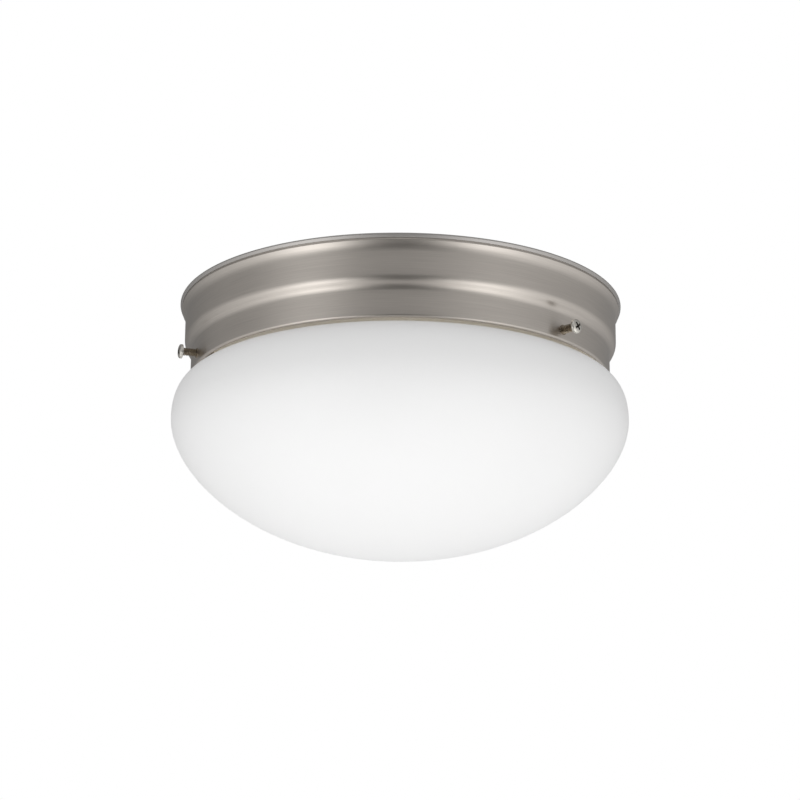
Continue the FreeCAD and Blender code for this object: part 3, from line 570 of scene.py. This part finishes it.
def opal_glass(colours, shoulder):
    """Cased white glass: a soft gloss over an uneven blown wall, with a painted glow: it emits
    light though it is no lamp, standing in for light the wall passes on, and warmer at the neck.
    """
    finish = Finish("opal_glass", {"IOR": 1.5, "Emission Strength": 0.125,
                                   "Subsurface Weight": 0.5,
                                   "Subsurface Radius": (0.008, 0.008, 0.008),
                                   "Subsurface Scale": 1.0, "Coat Roughness": 0.2})
    blown = finish.noise(finish.place(), 9.0, 2.0, 0.4)
    seeds = finish.noise(finish.place(), 260.0, 2.0, 0.6)
    low, high = shades(colours.opal, 0.985, 1.02)
    height = finish.split(finish.place())[2]
    # where the painted glow turns warm: from the shoulder up the neck
    neck = finish.between(height, shoulder, shoulder + 2 * MM)
    return finish.vary(
        Emission_Color=finish.mix(neck, colours.painted_glow, colours.painted_neck_glow),
        Base_Color=finish.mix(finish.between(blown * 0.8 + seeds * 0.2, 0.35, 0.65), low, high),
        Roughness=0.42 + blown * 0.08 + seeds * 0.03,
        Coat_Weight=0.04 + seeds * 0.04,
        Normal=finish.bump(blown, 0.12, 0.0015))


def plated(name, rgb, roughness=0.3, grain=900.0, spread=0.12, streaks=0.0):
    """Plated metal with fine mottling, tiny pits and rolling or turning marks."""
    finish = Finish(name, {"Metallic": 1.0})
    place = finish.place()
    mottle = finish.noise(place, 55.0, 4.0, 0.6)
    pits = finish.noise(place, grain, 2.0, 0.7)
    marks = mottle
    if streaks:
        x, y, z = finish.split(place)
        marks = finish.noise(finish.join(x * 30.0, y * streaks, z * streaks), 1.0, 3.0, 0.6)
    tone = finish.between(mottle * 0.45 + pits * 0.2 + marks * 0.35, 0.3, 0.7)
    low, high = shades(rgb, 1 - spread, 1 + spread)
    return finish.vary(
        Base_Color=finish.mix(tone, low, high),
        Roughness=(roughness - 0.06) + pits * 0.08 + mottle * 0.08,
        Normal=finish.bump(pits * 0.5 + marks * 0.5, 0.25, 0.00003))


def threaded_nickel(colours, head_start):
    """Bright nickel on the heads, with painted shade: the threads coloured darker for the dark
    reflection of the canopy above, and the cross recesses near black.
    """
    finish = Finish("screw_nickel", {"Metallic": 1.0})
    place = finish.place()
    worn = finish.noise(place, 420.0, 4.0, 0.65)
    fine = finish.noise(place, 2400.0, 2.0, 0.6)
    low, high = shades(colours.screw_nickel, 0.78, 1.12)
    # painted shade on the threads, darker and lighter at random
    thread_shade_low, thread_shade_high = shades(colours.thread_painted_shade, 0.55, 1.15)
    x, y = finish.split(place)[:2]
    reach = (x * x + y * y) ** 0.5
    head = finish.between(reach, head_start - 0.2 * MM, head_start + 0.2 * MM)
    # the faces marked as the cross recess, where shade is painted
    recess = finish.node("ShaderNodeAttribute", {"attribute_name": "recess"}, output="Fac")
    tone = finish.between(worn * 0.7 + fine * 0.3, 0.32, 0.66)
    nickel = finish.mix(head, finish.mix(tone, thread_shade_low, thread_shade_high), finish.mix(tone, low, high))
    return finish.vary(
        Base_Color=finish.mix(recess, nickel, colours.recess_painted_shade),
        Roughness=0.17 + worn * 0.12 + fine * 0.05,
        Normal=finish.bump(worn * 0.4 + fine * 0.6, 0.3, 0.00003))


def moulded(name, rgb, roughness=0.4, texture=700.0, depth=0.00005):
    """Moulded plastic with a fine spark texture and slight flow shading."""
    finish = Finish(name, {"IOR": 1.48, "Specular IOR Level": 0.5})
    place = finish.place()
    flow = finish.noise(place, 60.0, 3.0, 0.5)
    spark = finish.noise(place, texture, 3.0, 0.6)
    low, high = shades(rgb, 0.86, 1.12)
    return finish.vary(
        Base_Color=finish.mix(finish.between(flow * 0.6 + spark * 0.4, 0.3, 0.7), low, high),
        Roughness=(roughness - 0.05) + spark * 0.1,
        Normal=finish.bump(spark, 0.3, depth))


def glazed(name, rgb):
    """White porcelain: clear glaze over a faintly speckled body."""
    finish = Finish(name, {"IOR": 1.52, "Coat Roughness": 0.06, "Subsurface Weight": 0.08,
                           "Subsurface Radius": (0.003, 0.002, 0.0015), "Subsurface Scale": 1.0})
    place = finish.place()
    speck = finish.between(finish.cells(place, 900.0), 0.12, 0.2)
    wave = finish.noise(place, 45.0, 2.0, 0.5)
    dark, light = shades(rgb, 0.72, 1.03)
    body = finish.mix(speck * 0.5 + 0.5, dark, light)
    return finish.vary(Base_Color=body, Roughness=0.2 + wave * 0.12, Coat_Weight=0.5 + wave * 0.3,
                       Normal=finish.bump(wave, 0.15, 0.0004))


def lamp_glass(name, rgb, transmission, roughness):
    """Thin lamp glass, etched inside on the envelope and clear on the stem."""
    finish = Finish(name, {"IOR": 1.5, "Transmission Weight": transmission})
    place = finish.place()
    etched = finish.noise(place, 1500.0, 3.0, 0.6)
    drawn = finish.noise(place, 30.0, 2.0, 0.5)
    low, high = shades(rgb, 0.97, 1.02)
    return finish.vary(Base_Color=finish.mix(drawn, low, high),
                       Roughness=roughness + etched * 0.08,
                       Normal=finish.bump(etched * 0.5 + drawn * 0.5, 0.1, 0.0001))


def fibre_mat(colours):
    """Glass wool: matted strands with paler tufts."""
    finish = Finish("glass_fibre", {"Sheen Weight": 0.4, "Sheen Roughness": 0.5,
                                    "Specular IOR Level": 0.2})
    x, y, z = finish.split(finish.place())
    strands = finish.noise(finish.join(x * 160.0, y * 1500.0, z * 1500.0), 1.0, 3.0, 0.7)
    crossing = finish.noise(finish.join(x * 1500.0, y * 160.0, z * 1500.0), 1.0, 3.0, 0.7)
    tufts = finish.noise(finish.place(), 70.0, 4.0, 0.6)
    weave = finish.larger(strands, crossing)
    low, high = shades(colours.glass_fibre, 0.62, 1.18)
    return finish.vary(
        Base_Color=finish.mix(finish.between(weave * 0.6 + tufts * 0.4, 0.35, 0.68), low, high),
        Roughness=0.8 + tufts * 0.15,
        Normal=finish.bump(weave * 0.7 + tufts * 0.3, 0.8, 0.0006))


def wire_coat(name, rgb):
    """High-temperature sleeving with a braided surface."""
    finish = Finish(name, {"IOR": 1.45})
    place = finish.place()
    x, y, z = finish.split(place)
    braid = finish.noise(finish.join((x + y) * 1500.0, (x - z) * 1500.0, (y + z) * 700.0),
                         1.0, 2.0, 0.5)
    dust = finish.noise(place, 120.0, 3.0, 0.5)
    low, high = shades(rgb, 0.7, 1.25)
    return finish.vary(
        Base_Color=finish.mix(finish.between(braid * 0.7 + dust * 0.3, 0.3, 0.7), low, high),
        Roughness=0.45 + braid * 0.2,
        Normal=finish.bump(braid, 0.4, 0.00012))


# ------------------------------------------------------------------ the pieces
def canopy_outline(sizes):
    """The ring's section, from the in-turned lip up to the flange that the hem holds."""
    lower = sizes.wall_radius - sizes.wall_step
    shoulder = -(sizes.depth - sizes.lower_wall_height - sizes.shoulder_height)
    flange = -(sizes.plate_sheet + sizes.hem_gap + sizes.sheet)
    bead = 2 * sizes.plate_sheet + 2 * sizes.hem_gap + sizes.sheet
    cove_top = -(bead + sizes.groove_height)
    edge = sizes.wall_radius + sizes.cove_flare
    groove = edge - sizes.groove_depth
    rim = sizes.wall_radius + sizes.rim_overhang
    corners = [(lower - sizes.lip_turn, -sizes.depth),
               (lower, -sizes.depth, sizes.lip_bend),
               (lower, shoulder - sizes.shoulder_height, sizes.shoulder_bend),
               (sizes.wall_radius, shoulder, sizes.shoulder_bend),
               (sizes.wall_radius, -sizes.cove_height, sizes.cove_bend),
               (edge, cove_top, sizes.cove_edge),
               (groove, cove_top + sizes.groove_slope, sizes.groove_bend),
               (groove, flange, sizes.groove_bend),
               (rim - sizes.flange_inset, flange)]
    return split_runs(rounded(sheet_corners(corners, sizes.sheet)), 4 * MM)


def plate_outline(sizes):
    """The back plate's section, from the hem round the rim bead and down into the recess."""
    bead = 2 * sizes.plate_sheet + 2 * sizes.hem_gap + sizes.sheet
    groove = sizes.wall_radius + sizes.cove_flare - sizes.groove_depth
    rim = sizes.wall_radius + sizes.rim_overhang
    recess = rim - sizes.recess_inset
    corners = [(groove + sizes.hem_inset, -bead),
               (rim - sizes.bead_slope, -bead, sizes.bead_bend),
               (rim, -sizes.bead_slope, sizes.bead_bend),
               (rim, 0, sizes.bead_bend),
               (recess, 0, sizes.recess_bend),
               (recess - sizes.recess_slope, -sizes.recess_depth, sizes.recess_bend),
               (0, -sizes.recess_depth)]
    return split_runs(rounded(sheet_corners(corners, sizes.plate_sheet)), 9 * MM)


def shade_outline(sizes):
    """The glass wall's section, up the outside of the neck and back down the inside."""
    bore = sizes.neck_radius - sizes.wall
    bend_height = sizes.shoulder + sizes.neck_bend
    bend_radius = sizes.neck_radius + sizes.neck_bend
    bottom = sizes.widest - sizes.bowl_depth
    inner = sizes.widest_radius - sizes.wall
    share = 1 - sizes.wall / sizes.bowl_depth
    fitter = rounded([(bore, bend_height), (bore, sizes.fitter_top, sizes.mouth_bend),
                      (sizes.fitter_radius, sizes.fitter_top, sizes.fitter_bend),
                      (sizes.fitter_radius, sizes.fitter_under, sizes.fitter_bend),
                      (sizes.neck_radius, sizes.fitter_under, sizes.neck_corner),
                      (sizes.neck_radius, bend_height)], closed=False)

    def neck_arc(radius):
        return [Vector((bend_radius - radius * math.cos(a), bend_height - radius * math.sin(a)))
                for a in (math.pi / 2 * i / 10 for i in range(1, 11))]

    outside = curve([(bend_radius, sizes.shoulder),
                     (sizes.widest_radius, sizes.widest + sizes.shoulder_handle),
                     (sizes.widest_radius, sizes.widest)], 22)
    outside += curve([(sizes.widest_radius, sizes.widest),
                      (sizes.widest_radius, sizes.widest - sizes.bowl_side),
                      (sizes.bowl_bottom, bottom), (0, bottom)], 44)
    floor = bottom + sizes.wall
    inside = [Vector((0, floor))]
    inside += curve([(0, floor), (sizes.bowl_bottom * share, floor),
                     (inner, sizes.widest - sizes.bowl_side * share),
                     (inner, sizes.widest)], 34)
    inside += curve([(inner, sizes.widest),
                     (inner, sizes.widest + sizes.shoulder_handle - sizes.wall),
                     (bend_radius, sizes.shoulder - sizes.wall)], 16)
    return fitter + neck_arc(sizes.neck_bend) + outside + inside \
        + neck_arc(sizes.neck_bend + sizes.wall)[::-1][1:]


class OBJECT_OT_light_canopy(bpy.types.Operator):
    """Draw the canopy's ring: rim flange, groove, cove, wall, shoulder and in-turned lip"""
    bl_idname = "object.light_canopy"
    bl_label = "Canopy"

    def execute(self, context):
        light = context.scene.ceiling_light
        piece = turn("canopy_ring", canopy_outline(light.canopy))
        lower = light.canopy.wall_radius - light.canopy.wall_step
        holes = []
        for azimuth in SCREW_AZIMUTHS.values():
            hole = rod(light.screw.hole_radius, 6 * MM, (lower, 0, light.screw.height), "X", 40)
            place_in_mesh(hole)
            swing(hole, azimuth)
            holes.append(hole)
        combine(piece, holes, "DIFFERENCE")
        smooth(piece)
        dress(piece, "canopy", brushed_nickel(light.colours), ["canopy_shell"])
        return {"FINISHED"}


class OBJECT_OT_light_back_plate(bpy.types.Operator):
    """Press the back plate: its hem makes the rim bead, and its recess takes the wiring"""
    bl_idname = "object.light_back_plate"
    bl_label = "Back plate"

    def execute(self, context):
        light = context.scene.ceiling_light
        sizes, wiring = light.canopy, light.wiring
        piece = turn("hemmed_plate", plate_outline(sizes))
        middle = -(sizes.recess_depth + sizes.plate_sheet / 2)
        deep = 4 * sizes.plate_sheet
        holes = [rod(wiring.bushing_hole, deep, (wiring.bushing_x, wiring.bushing_y, middle),
                     sides=48)]
        for side in (-1, 1):
            x = side * light.screw.spacing / 2
            y = side * wiring.keyhole_offset
            keyhole = rod(wiring.keyhole_radius, deep, (x, y, middle), sides=48)
            seat = rod(wiring.keyhole_slot, deep, (x, 0, middle))
            slot = block((2 * wiring.keyhole_slot, wiring.keyhole_offset, deep),
                         (x, y / 2, middle))
            holes.append(combine(keyhole, [seat, slot], "UNION"))
            holes.append(rod(wiring.rivet_hole, deep, (wiring.bracket_rivet_x,
                                                       side * wiring.bracket_rivet_y, middle)))
        holes.append(rod(wiring.rivet_hole, deep,
                         (wiring.ground_rivet_x, wiring.ground_rivet_y, middle)))
        combine(piece, holes, "DIFFERENCE")
        smooth(piece)
        dress(piece, "canopy", bpy.data.materials["brushed_nickel"],
              ["back_plate"])
        return {"FINISHED"}


class OBJECT_OT_light_shade(bpy.types.Operator):
    """Blow the opal shade: fitter edge, neck, shoulder and deep bowl"""
    bl_idname = "object.light_shade"
    bl_label = "Shade"

    def execute(self, context):
        light = context.scene.ceiling_light
        piece = turn("opal_shade", shade_outline(light.shade))
        smooth(piece, 60)
        dress(piece, "shade", opal_glass(light.colours, light.shade.shoulder),
              ["glass_shade"])
        return {"FINISHED"}


def head_outline(sizes, under):
    """Half the head's section: an upright side below a shallow dome."""
    side, top = under + sizes.head_side, under + sizes.head_height
    rise = sizes.head_height - sizes.head_side
    chamfer = 0.12 * MM
    crown = 0.42                          # share of the head's radius that is flat on top
    dome = [(side + rise * math.sin(a), sizes.head_radius * (crown + (1 - crown) * math.cos(a)))
            for a in (math.pi / 2 * i / 8 for i in range(1, 9))]
    return [(under, sizes.head_radius - chamfer), (under + chamfer, sizes.head_radius),
            (side, sizes.head_radius), *dome, (top, 0)]


def machine_screw(name, sizes, shank):
    """A threaded screw along +X from its end at the origin."""
    core = [(0, 0), (0, sizes.root - 0.25 * MM), (0.3 * MM, sizes.root), (shank, sizes.root)]
    outline = [Vector(p) for p in core + head_outline(sizes, shank)]
    piece = turn(name, outline, axis=(1, 0, 0), steps=48)
    start, deep = 0.25 * MM, sizes.root - 0.1 * MM
    flank, crest = 0.36 * sizes.pitch, 0.12 * sizes.pitch
    ridge = draw("ridge", [(start, deep), (start + flank, sizes.radius),
                           (start + flank + crest, sizes.radius),
                           (start + 2 * flank + crest, deep)])
    bpy.ops.object.mode_set(mode="OBJECT")
    choose(ridge)
    bpy.ops.object.modifier_add(type="SCREW")
    helix = ridge.modifiers[-1]
    helix.axis = "X"
    helix.screw_offset = sizes.pitch
    helix.iterations = int((shank - 0.4 * MM) / sizes.pitch)
    helix.steps = helix.render_steps = 24
    bpy.ops.object.modifier_apply(modifier=helix.name)
    bpy.ops.object.mode_set(mode="EDIT")
    bpy.ops.mesh.select_all(action="SELECT")
    bpy.ops.mesh.fill_holes(sides=4)
    tidy_mesh()
    bpy.ops.object.mode_set(mode="OBJECT")
    combine(piece, [ridge], "UNION")
    top = shank + sizes.head_height
    wings = []
    for turned in (0, 90):
        wing = block((sizes.recess_depth, sizes.recess_span, sizes.recess_width),
                     (top - sizes.recess_depth / 2 + 0.01 * MM, 0, 0))
        place_in_mesh(wing)
        bpy.ops.object.mode_set(mode="EDIT")
        bpy.ops.mesh.select_mode(type="VERT")
        pick(wing, "verts", lambda v: v.co.x < top - sizes.recess_depth / 2)
        bpy.ops.transform.resize(value=CROSS_FLOOR, center_override=ORIGIN)
        bpy.ops.object.mode_set(mode="OBJECT")
        wing.rotation_euler = (math.radians(turned), 0, 0)
        place_in_mesh(wing)
        wings.append(wing)
    combine(piece, [combine(wings[0], wings[1:], "UNION")], "DIFFERENCE")
    return piece


def mark_recess(piece, sizes, shank):
    """Notes in the mesh which faces of a screw lie in its cross, for the painted shade there."""
    top = shank + sizes.head_height
    marks = piece.data.attributes.new("recess", "FLOAT", "FACE")
    for face, mark in zip(piece.data.polygons, marks.data):
        x, y, z = face.center
        inside = x > shank and math.hypot(y, z) < sizes.recess_span / 2
        if inside and (face.normal.x < 0.8 or x < top - 0.8 * sizes.recess_depth):
            mark.value = 1.0


class OBJECT_OT_light_shade_screws(bpy.types.Operator):
    """Cut the three threaded screws that hold the shade, each drilled for its soft tip"""
    bl_idname = "object.light_shade_screws"
    bl_label = "Shade screws"

    def execute(self, context):
        light = context.scene.ceiling_light
        sizes = light.screw
        finish = threaded_nickel(light.colours, sizes.end_radius + sizes.shade_length)
        model = machine_screw("shade_screw", sizes, sizes.shade_length)
        drill = rod(sizes.stem_radius, 2 * sizes.stem_depth, ORIGIN, "X", 24)
        combine(model, [drill], "DIFFERENCE")
        smooth(model)
        mark_recess(model, sizes, sizes.shade_length)
        model.rotation_euler = (sizes.recess_turn, 0, 0)
        model.location = (sizes.end_radius, 0, sizes.height)
        place_in_mesh(model)
        screws = copies(model, ["shade_screw_" + place for place in SCREW_AZIMUTHS])
        for piece, (place, azimuth) in zip(screws, SCREW_AZIMUTHS.items()):
            swing(piece, azimuth)
            dress(piece, "screw_" + place, finish, ["glass_screw_" + place])
        return {"FINISHED"}


class OBJECT_OT_light_mounting_screws(bpy.types.Operator):
    """Cut the two screws that hang the back plate on the crossbar by its keyholes"""
    bl_idname = "object.light_mounting_screws"
    bl_label = "Mounting screws"

    def execute(self, context):
        light = context.scene.ceiling_light
        sizes = light.screw
        finish = plated("zinc_screw", light.colours.zinc, 0.3)
        model = machine_screw("mounting_screw", sizes, sizes.mounting_length)
        smooth(model)
        under = -(light.canopy.recess_depth + light.canopy.plate_sheet)
        model.rotation_euler = (0, math.pi / 2, 0)
        model.location = (0, 0, under + sizes.mounting_length)
        place_in_mesh(model)
        screws = copies(model, ["mounting_screw_left", "mounting_screw_right"])
        for piece, side in zip(screws, (-1, 1)):
            piece.location = (side * sizes.spacing / 2, 0, 0)
            dress(piece, "canopy", finish, ["mounting_screws"])
        return {"FINISHED"}


class OBJECT_OT_light_connectors(bpy.types.Operator):
    """Mould the two twist-on wire connectors with their gripping ribs"""
    bl_idname = "object.light_connectors"
    bl_label = "Wire connectors"

    def execute(self, context):
        light = context.scene.ceiling_light
        sizes = light.wiring
        finish = moulded("orange_plastic", light.colours.connector, 0.38)
        end, radius, bore = sizes.connector_length, sizes.connector_radius, sizes.connector_bore
        steps = 48
        for lead, y in (("black", sizes.black_connector_y), ("white", sizes.white_connector_y)):
            outline = rounded([(0, bore), (0, radius, 0.5 * MM),
                               (sizes.connector_skirt, radius, 1.0 * MM),
                               (end, 0.55 * radius, 1.2 * MM), (end, 0),
                               (sizes.connector_reach, 0), (sizes.connector_reach, bore)])
            piece = turn("connector_" + lead, outline, axis=(1, 0, 0), steps=steps)
            bpy.ops.object.mode_set(mode="EDIT")
            bpy.ops.mesh.select_mode(type="FACE")

            def is_flute(face):
                """Every third strip of the grip."""
                centre = face.calc_center_median()
                strip = int((math.atan2(centre.z, centre.y) / math.tau + 2) * steps)
                outer = math.hypot(centre.y, centre.z) > 0.5 * radius
                along = sizes.connector_skirt + MM < centre.x < 0.8 * end
                return strip % 3 == 0 and outer and along and abs(face.normal.x) < 0.5

            pick(piece, "faces", is_flute)
            bpy.ops.mesh.extrude_region_shrink_fatten(
                TRANSFORM_OT_shrink_fatten={"value": -sizes.connector_flute})
            bpy.ops.object.mode_set(mode="OBJECT")
            smooth(piece, 25)
            piece.location = (sizes.connector_x, y, sizes.connector_z)
            dress(piece, "canopy", finish, ["wire_connectors"])
        return {"FINISHED"}


class OBJECT_OT_light_insulation(bpy.types.Operator):
    """Lay the ring of glass wool in the wiring recess"""
    bl_idname = "object.light_insulation"
    bl_label = "Insulation"

    def execute(self, context):
        light = context.scene.ceiling_light
        sizes = light.wiring
        low, high = sizes.pad_low, sizes.pad_high
        inner, outer = sizes.pad_inner + 1.2 * MM, sizes.pad_outer - 1.0 * MM
        outline = rounded([(inner, low, sizes.pad_foot), (outer, low, sizes.pad_foot),
                           (outer, high, sizes.pad_bend), (inner, high, sizes.pad_bend)])
        piece = turn("glass_wool_ring", split_runs(outline, 2.4 * MM))
        holes = [rod(sizes.pad_hole, 20 * MM, (sizes.bracket_rivet_x, y, low), sides=24)
                 for y in (-sizes.bracket_rivet_y, sizes.bracket_rivet_y)]
        combine(piece, [combine(holes[0], holes[1:], "UNION")], "DIFFERENCE")
        choose(piece)
        bpy.ops.object.vertex_group_add()
        loose = [v.index for v in piece.data.vertices if v.co.z > low + 1.5 * MM]
        piece.vertex_groups[0].add(loose, 1.0, "REPLACE")
        clouds = bpy.data.textures.new("wool_tufts", "CLOUDS")
        clouds.noise_scale = 0.007
        clouds.noise_depth = 3
        bpy.ops.object.modifier_add(type="DISPLACE")
        tufts = piece.modifiers[-1]
        tufts.texture = clouds
        tufts.texture_coords = "LOCAL"
        tufts.strength = sizes.pad_tuft
        tufts.mid_level = 0.55
        tufts.vertex_group = piece.vertex_groups[0].name
        bpy.ops.object.modifier_apply(modifier=tufts.name)
        smooth(piece, 60)
        dress(piece, "canopy", fibre_mat(light.colours), ["insulation_pad"])
        return {"FINISHED"}


class OBJECT_OT_light_finishes(bpy.types.Operator):
    """Give the parts that keep their machined shape their metals, glass, porcelain and wire"""
    bl_idname = "object.light_finishes"
    bl_label = "Finishes"

    def execute(self, context):
        colours = context.scene.ceiling_light.colours
        zinc = plated("zinc_steel", colours.zinc, 0.36, streaks=700.0)
        brass = plated("brass", colours.brass, 0.26)
        finishes = {
            "crossbar": zinc, "clinch_nuts": bpy.data.materials["screw_nickel"],
            "lamp_bracket": zinc, "bracket_rivets": plated("rivet_aluminium", (0.72, 0.72, 0.73)),
            "ground_rivet": plated("rivet_steel", (0.58, 0.58, 0.6)),
            "ground_screw": plated("green_steel", (0.05, 0.36, 0.12), 0.4),
            "ground_lead": plated("bare_copper", colours.copper, 0.28),
            "holder_body": glazed("porcelain", colours.porcelain),
            "holder_screw": bpy.data.materials["zinc_screw"], "screw_shell": brass,
            "centre_contact": brass,
            "lamp_envelope": lamp_glass("frosted_glass", (0.95, 0.95, 0.94), 0.75, 0.5),
            "lamp_stem": lamp_glass("clear_glass", (0.98, 0.99, 0.98), 1.0, 0.02),
            "lamp_cap": plated("cap_aluminium", (0.78, 0.78, 0.79), 0.3),
            "lamp_insulator": glazed("black_glass", (0.02, 0.02, 0.022)),
            "lamp_contact": plated("solder", (0.55, 0.55, 0.56), 0.42),
            "lamp_filament": plated("tungsten", (0.30, 0.29, 0.29), 0.5),
            "lead_black": wire_coat("black_lead", (0.025, 0.025, 0.027)),
            "lead_white": wire_coat("white_lead", (0.78, 0.77, 0.73)),
            "lead_bushing": moulded("black_nylon", (0.03, 0.03, 0.032), 0.45),
        }
        tips = moulded("soft_nylon", (0.85, 0.84, 0.80), 0.5)
        finishes.update({"screw_tip_" + place: tips for place in SCREW_AZIMUTHS})
        for name, finish in finishes.items():
            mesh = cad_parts[name].data
            mesh.materials.clear()
            mesh.materials.append(finish)
        return {"FINISHED"}


# ------------------------------------------------------------------ floor, light and camera
CAMERA_TARGET = Vector((0, 0, -0.062))
CAMERA_DISTANCE = 1.4
CAMERA_ELEVATION = math.radians(-16.8)
CAMERA_LIFT = math.radians(0.512)         # how far it points above the target
CAMERA_ROLL = math.radians(0.36)
CAMERA_LENS = 122.4                       # millimetres, on a sensor 36 mm wide
FLOOR_HEIGHT = -2.3

# the studio: what the metal and the glass mirror, and what lights matt surfaces.
# each light has its azimuth from the front, elevation and spread in degrees, and its level
MIRRORED = {
    "ceiling": (0, 90, 50, 0.30),
    "top box in front": (0, 45, 20, 0.40),
    "left window": (-50, 15, 18, 0.45),
    "right window": (45, 15, 20, 0.36),
    "left wall": (-105, -24, 27, 0.55),
    "right wall": (103, -20, 28, 0.63),
    "back wall": (170, -25, 25, 0.28),
    "left box in front": (-46, -30, 12.5, 1.95),
    "left box behind it": (-75, -25, 14, 0.35),
    "right box in front": (46, -36, 12.5, 1.45),
    "right box behind it": (70, -15, 16, 0.40),
    "left card below": (-70, -60, 14, 1.00),
    "right card below": (72, -60, 14, 1.00),
    "floor": (180, -80, 18, 0.70),
}
SOFT_LIGHT = {
    "ceiling": (0, 90, 40, 0.80),
    "floor": (0, -90, 40, 0.90),
    "left wall": (-80, -15, 35, 0.45),
    "right wall": (80, -15, 35, 0.45),
    "box under the camera": (0, -50, 24, 0.95),
}


def studio_surround():
    """A white cyclorama to the camera, and soft boxes on all sides to the metal and the glass."""
    world = bpy.data.worlds.new("studio")
    bpy.context.scene.world = world
    world.use_nodes = True
    world.cycles.sampling_method = "NONE"
    room = Graph(world.node_tree)
    way = room.node("ShaderNodeTexCoord", output="Generated")

    def glow(boxes):
        """The light from a direction: each box is brightest in its middle."""
        total = 0.0
        for azimuth, elevation, spread, level in boxes.values():
            a, e = math.radians(azimuth), math.radians(elevation)
            centre = (math.sin(a) * math.cos(e), -math.cos(a) * math.cos(e), math.sin(e))
            near = room.node("ShaderNodeVectorMath", {"operation": "DOT_PRODUCT"},
                             {0: way, 1: centre}, "Value")
            fall = (near - 1) / math.radians(spread) ** 2
            total = fall.math("EXPONENT", fall) * level + total
        return total

    path = room.node("ShaderNodeLightPath", output="Is Camera Ray").socket.node
    seen, mirrored = (Signal(room, path.outputs[kind]) for kind in ("Is Camera Ray",
                                                                    "Is Glossy Ray"))
    lit = mirrored * glow(MIRRORED) + (1 - mirrored) * glow(SOFT_LIGHT)
    backdrop = seen + (1 - seen) * lit
    shader = room.node("ShaderNodeBackground", inputs={"Color": (1, 1, 1), "Strength": backdrop})
    room.node("ShaderNodeOutputWorld", inputs={"Surface": shader})


class SCENE_OT_light_stage(bpy.types.Operator):
    """Set the pale floor, the soft light and the camera"""
    bl_idname = "scene.light_stage"
    bl_label = "Stage"

    def execute(self, context):
        studio_surround()
        clear_selection()
        bpy.ops.mesh.primitive_plane_add(size=30, location=(0, 0, FLOOR_HEIGHT))
        floor = named("pale_floor")
        finish = Finish("pale_floor", {"Specular IOR Level": 0.2, "Emission Strength": 0.36,
                                       "Emission Color": (1.0, 1.0, 1.0, 1.0)})
        paper = finish.noise(finish.place(), 3.0, 4.0)
        low, high = shades((0.86, 0.86, 0.86), 0.99, 1.01)
        floor.data.materials.append(finish.vary(Base_Color=finish.mix(paper, low, high),
                                                Roughness=0.7 + paper * 0.1))
        floor.visible_glossy = False
        floor.visible_diffuse = False

        clear_selection()
        back = Vector((0, -math.cos(CAMERA_ELEVATION), math.sin(CAMERA_ELEVATION)))
        bpy.ops.object.camera_add(location=CAMERA_TARGET + CAMERA_DISTANCE * back)
        camera = context.object
        camera.name = "photo_camera"
        camera.data.lens = CAMERA_LENS
        camera.data.sensor_width = 36.0
        look_up = math.pi / 2 - CAMERA_ELEVATION + CAMERA_LIFT
        turned = Matrix.Rotation(look_up, 4, "X") @ Matrix.Rotation(CAMERA_ROLL, 4, "Z")
        camera.rotation_euler = turned.to_euler()
        context.scene.camera = camera
        context.scene.view_settings.view_transform = "Standard"
        return {"FINISHED"}


class VIEW3D_PT_ceiling_light(bpy.types.Panel):
    """The sidebar's list of the light's pieces"""
    bl_label = "Ceiling Light"
    bl_space_type = "VIEW_3D"
    bl_region_type = "UI"
    bl_category = "Ceiling Light"

    def draw(self, context):
        for operator in OPERATORS:
            self.layout.operator(operator.bl_idname)
        light = context.scene.ceiling_light
        for group in (light.canopy, light.shade, light.screw, light.wiring, light.colours):
            box = self.layout.box()
            for name in group.bl_rna.properties.keys():
                if name not in ("rna_type", "name"):
                    box.prop(group, name)


OPERATORS = (OBJECT_OT_light_canopy, OBJECT_OT_light_back_plate, OBJECT_OT_light_shade,
             OBJECT_OT_light_shade_screws, OBJECT_OT_light_mounting_screws,
             OBJECT_OT_light_connectors, OBJECT_OT_light_insulation, OBJECT_OT_light_finishes,
             SCENE_OT_light_stage)
CLASSES = (CanopySizes, ShadeSizes, ScrewSizes, WiringSizes, Colours, CeilingLight, *OPERATORS,
           VIEW3D_PT_ceiling_light)


def register():
    for item in CLASSES:
        bpy.utils.register_class(item)
    bpy.types.Scene.ceiling_light = PointerProperty(type=CeilingLight)


def unregister():
    del bpy.types.Scene.ceiling_light
    for item in reversed(CLASSES):
        bpy.utils.unregister_class(item)


def main():
    register()
    for operator in OPERATORS:
        group, name = operator.bl_idname.split(".")
        getattr(getattr(bpy.ops, group), name)()


if __name__ == "__main__":
    main()
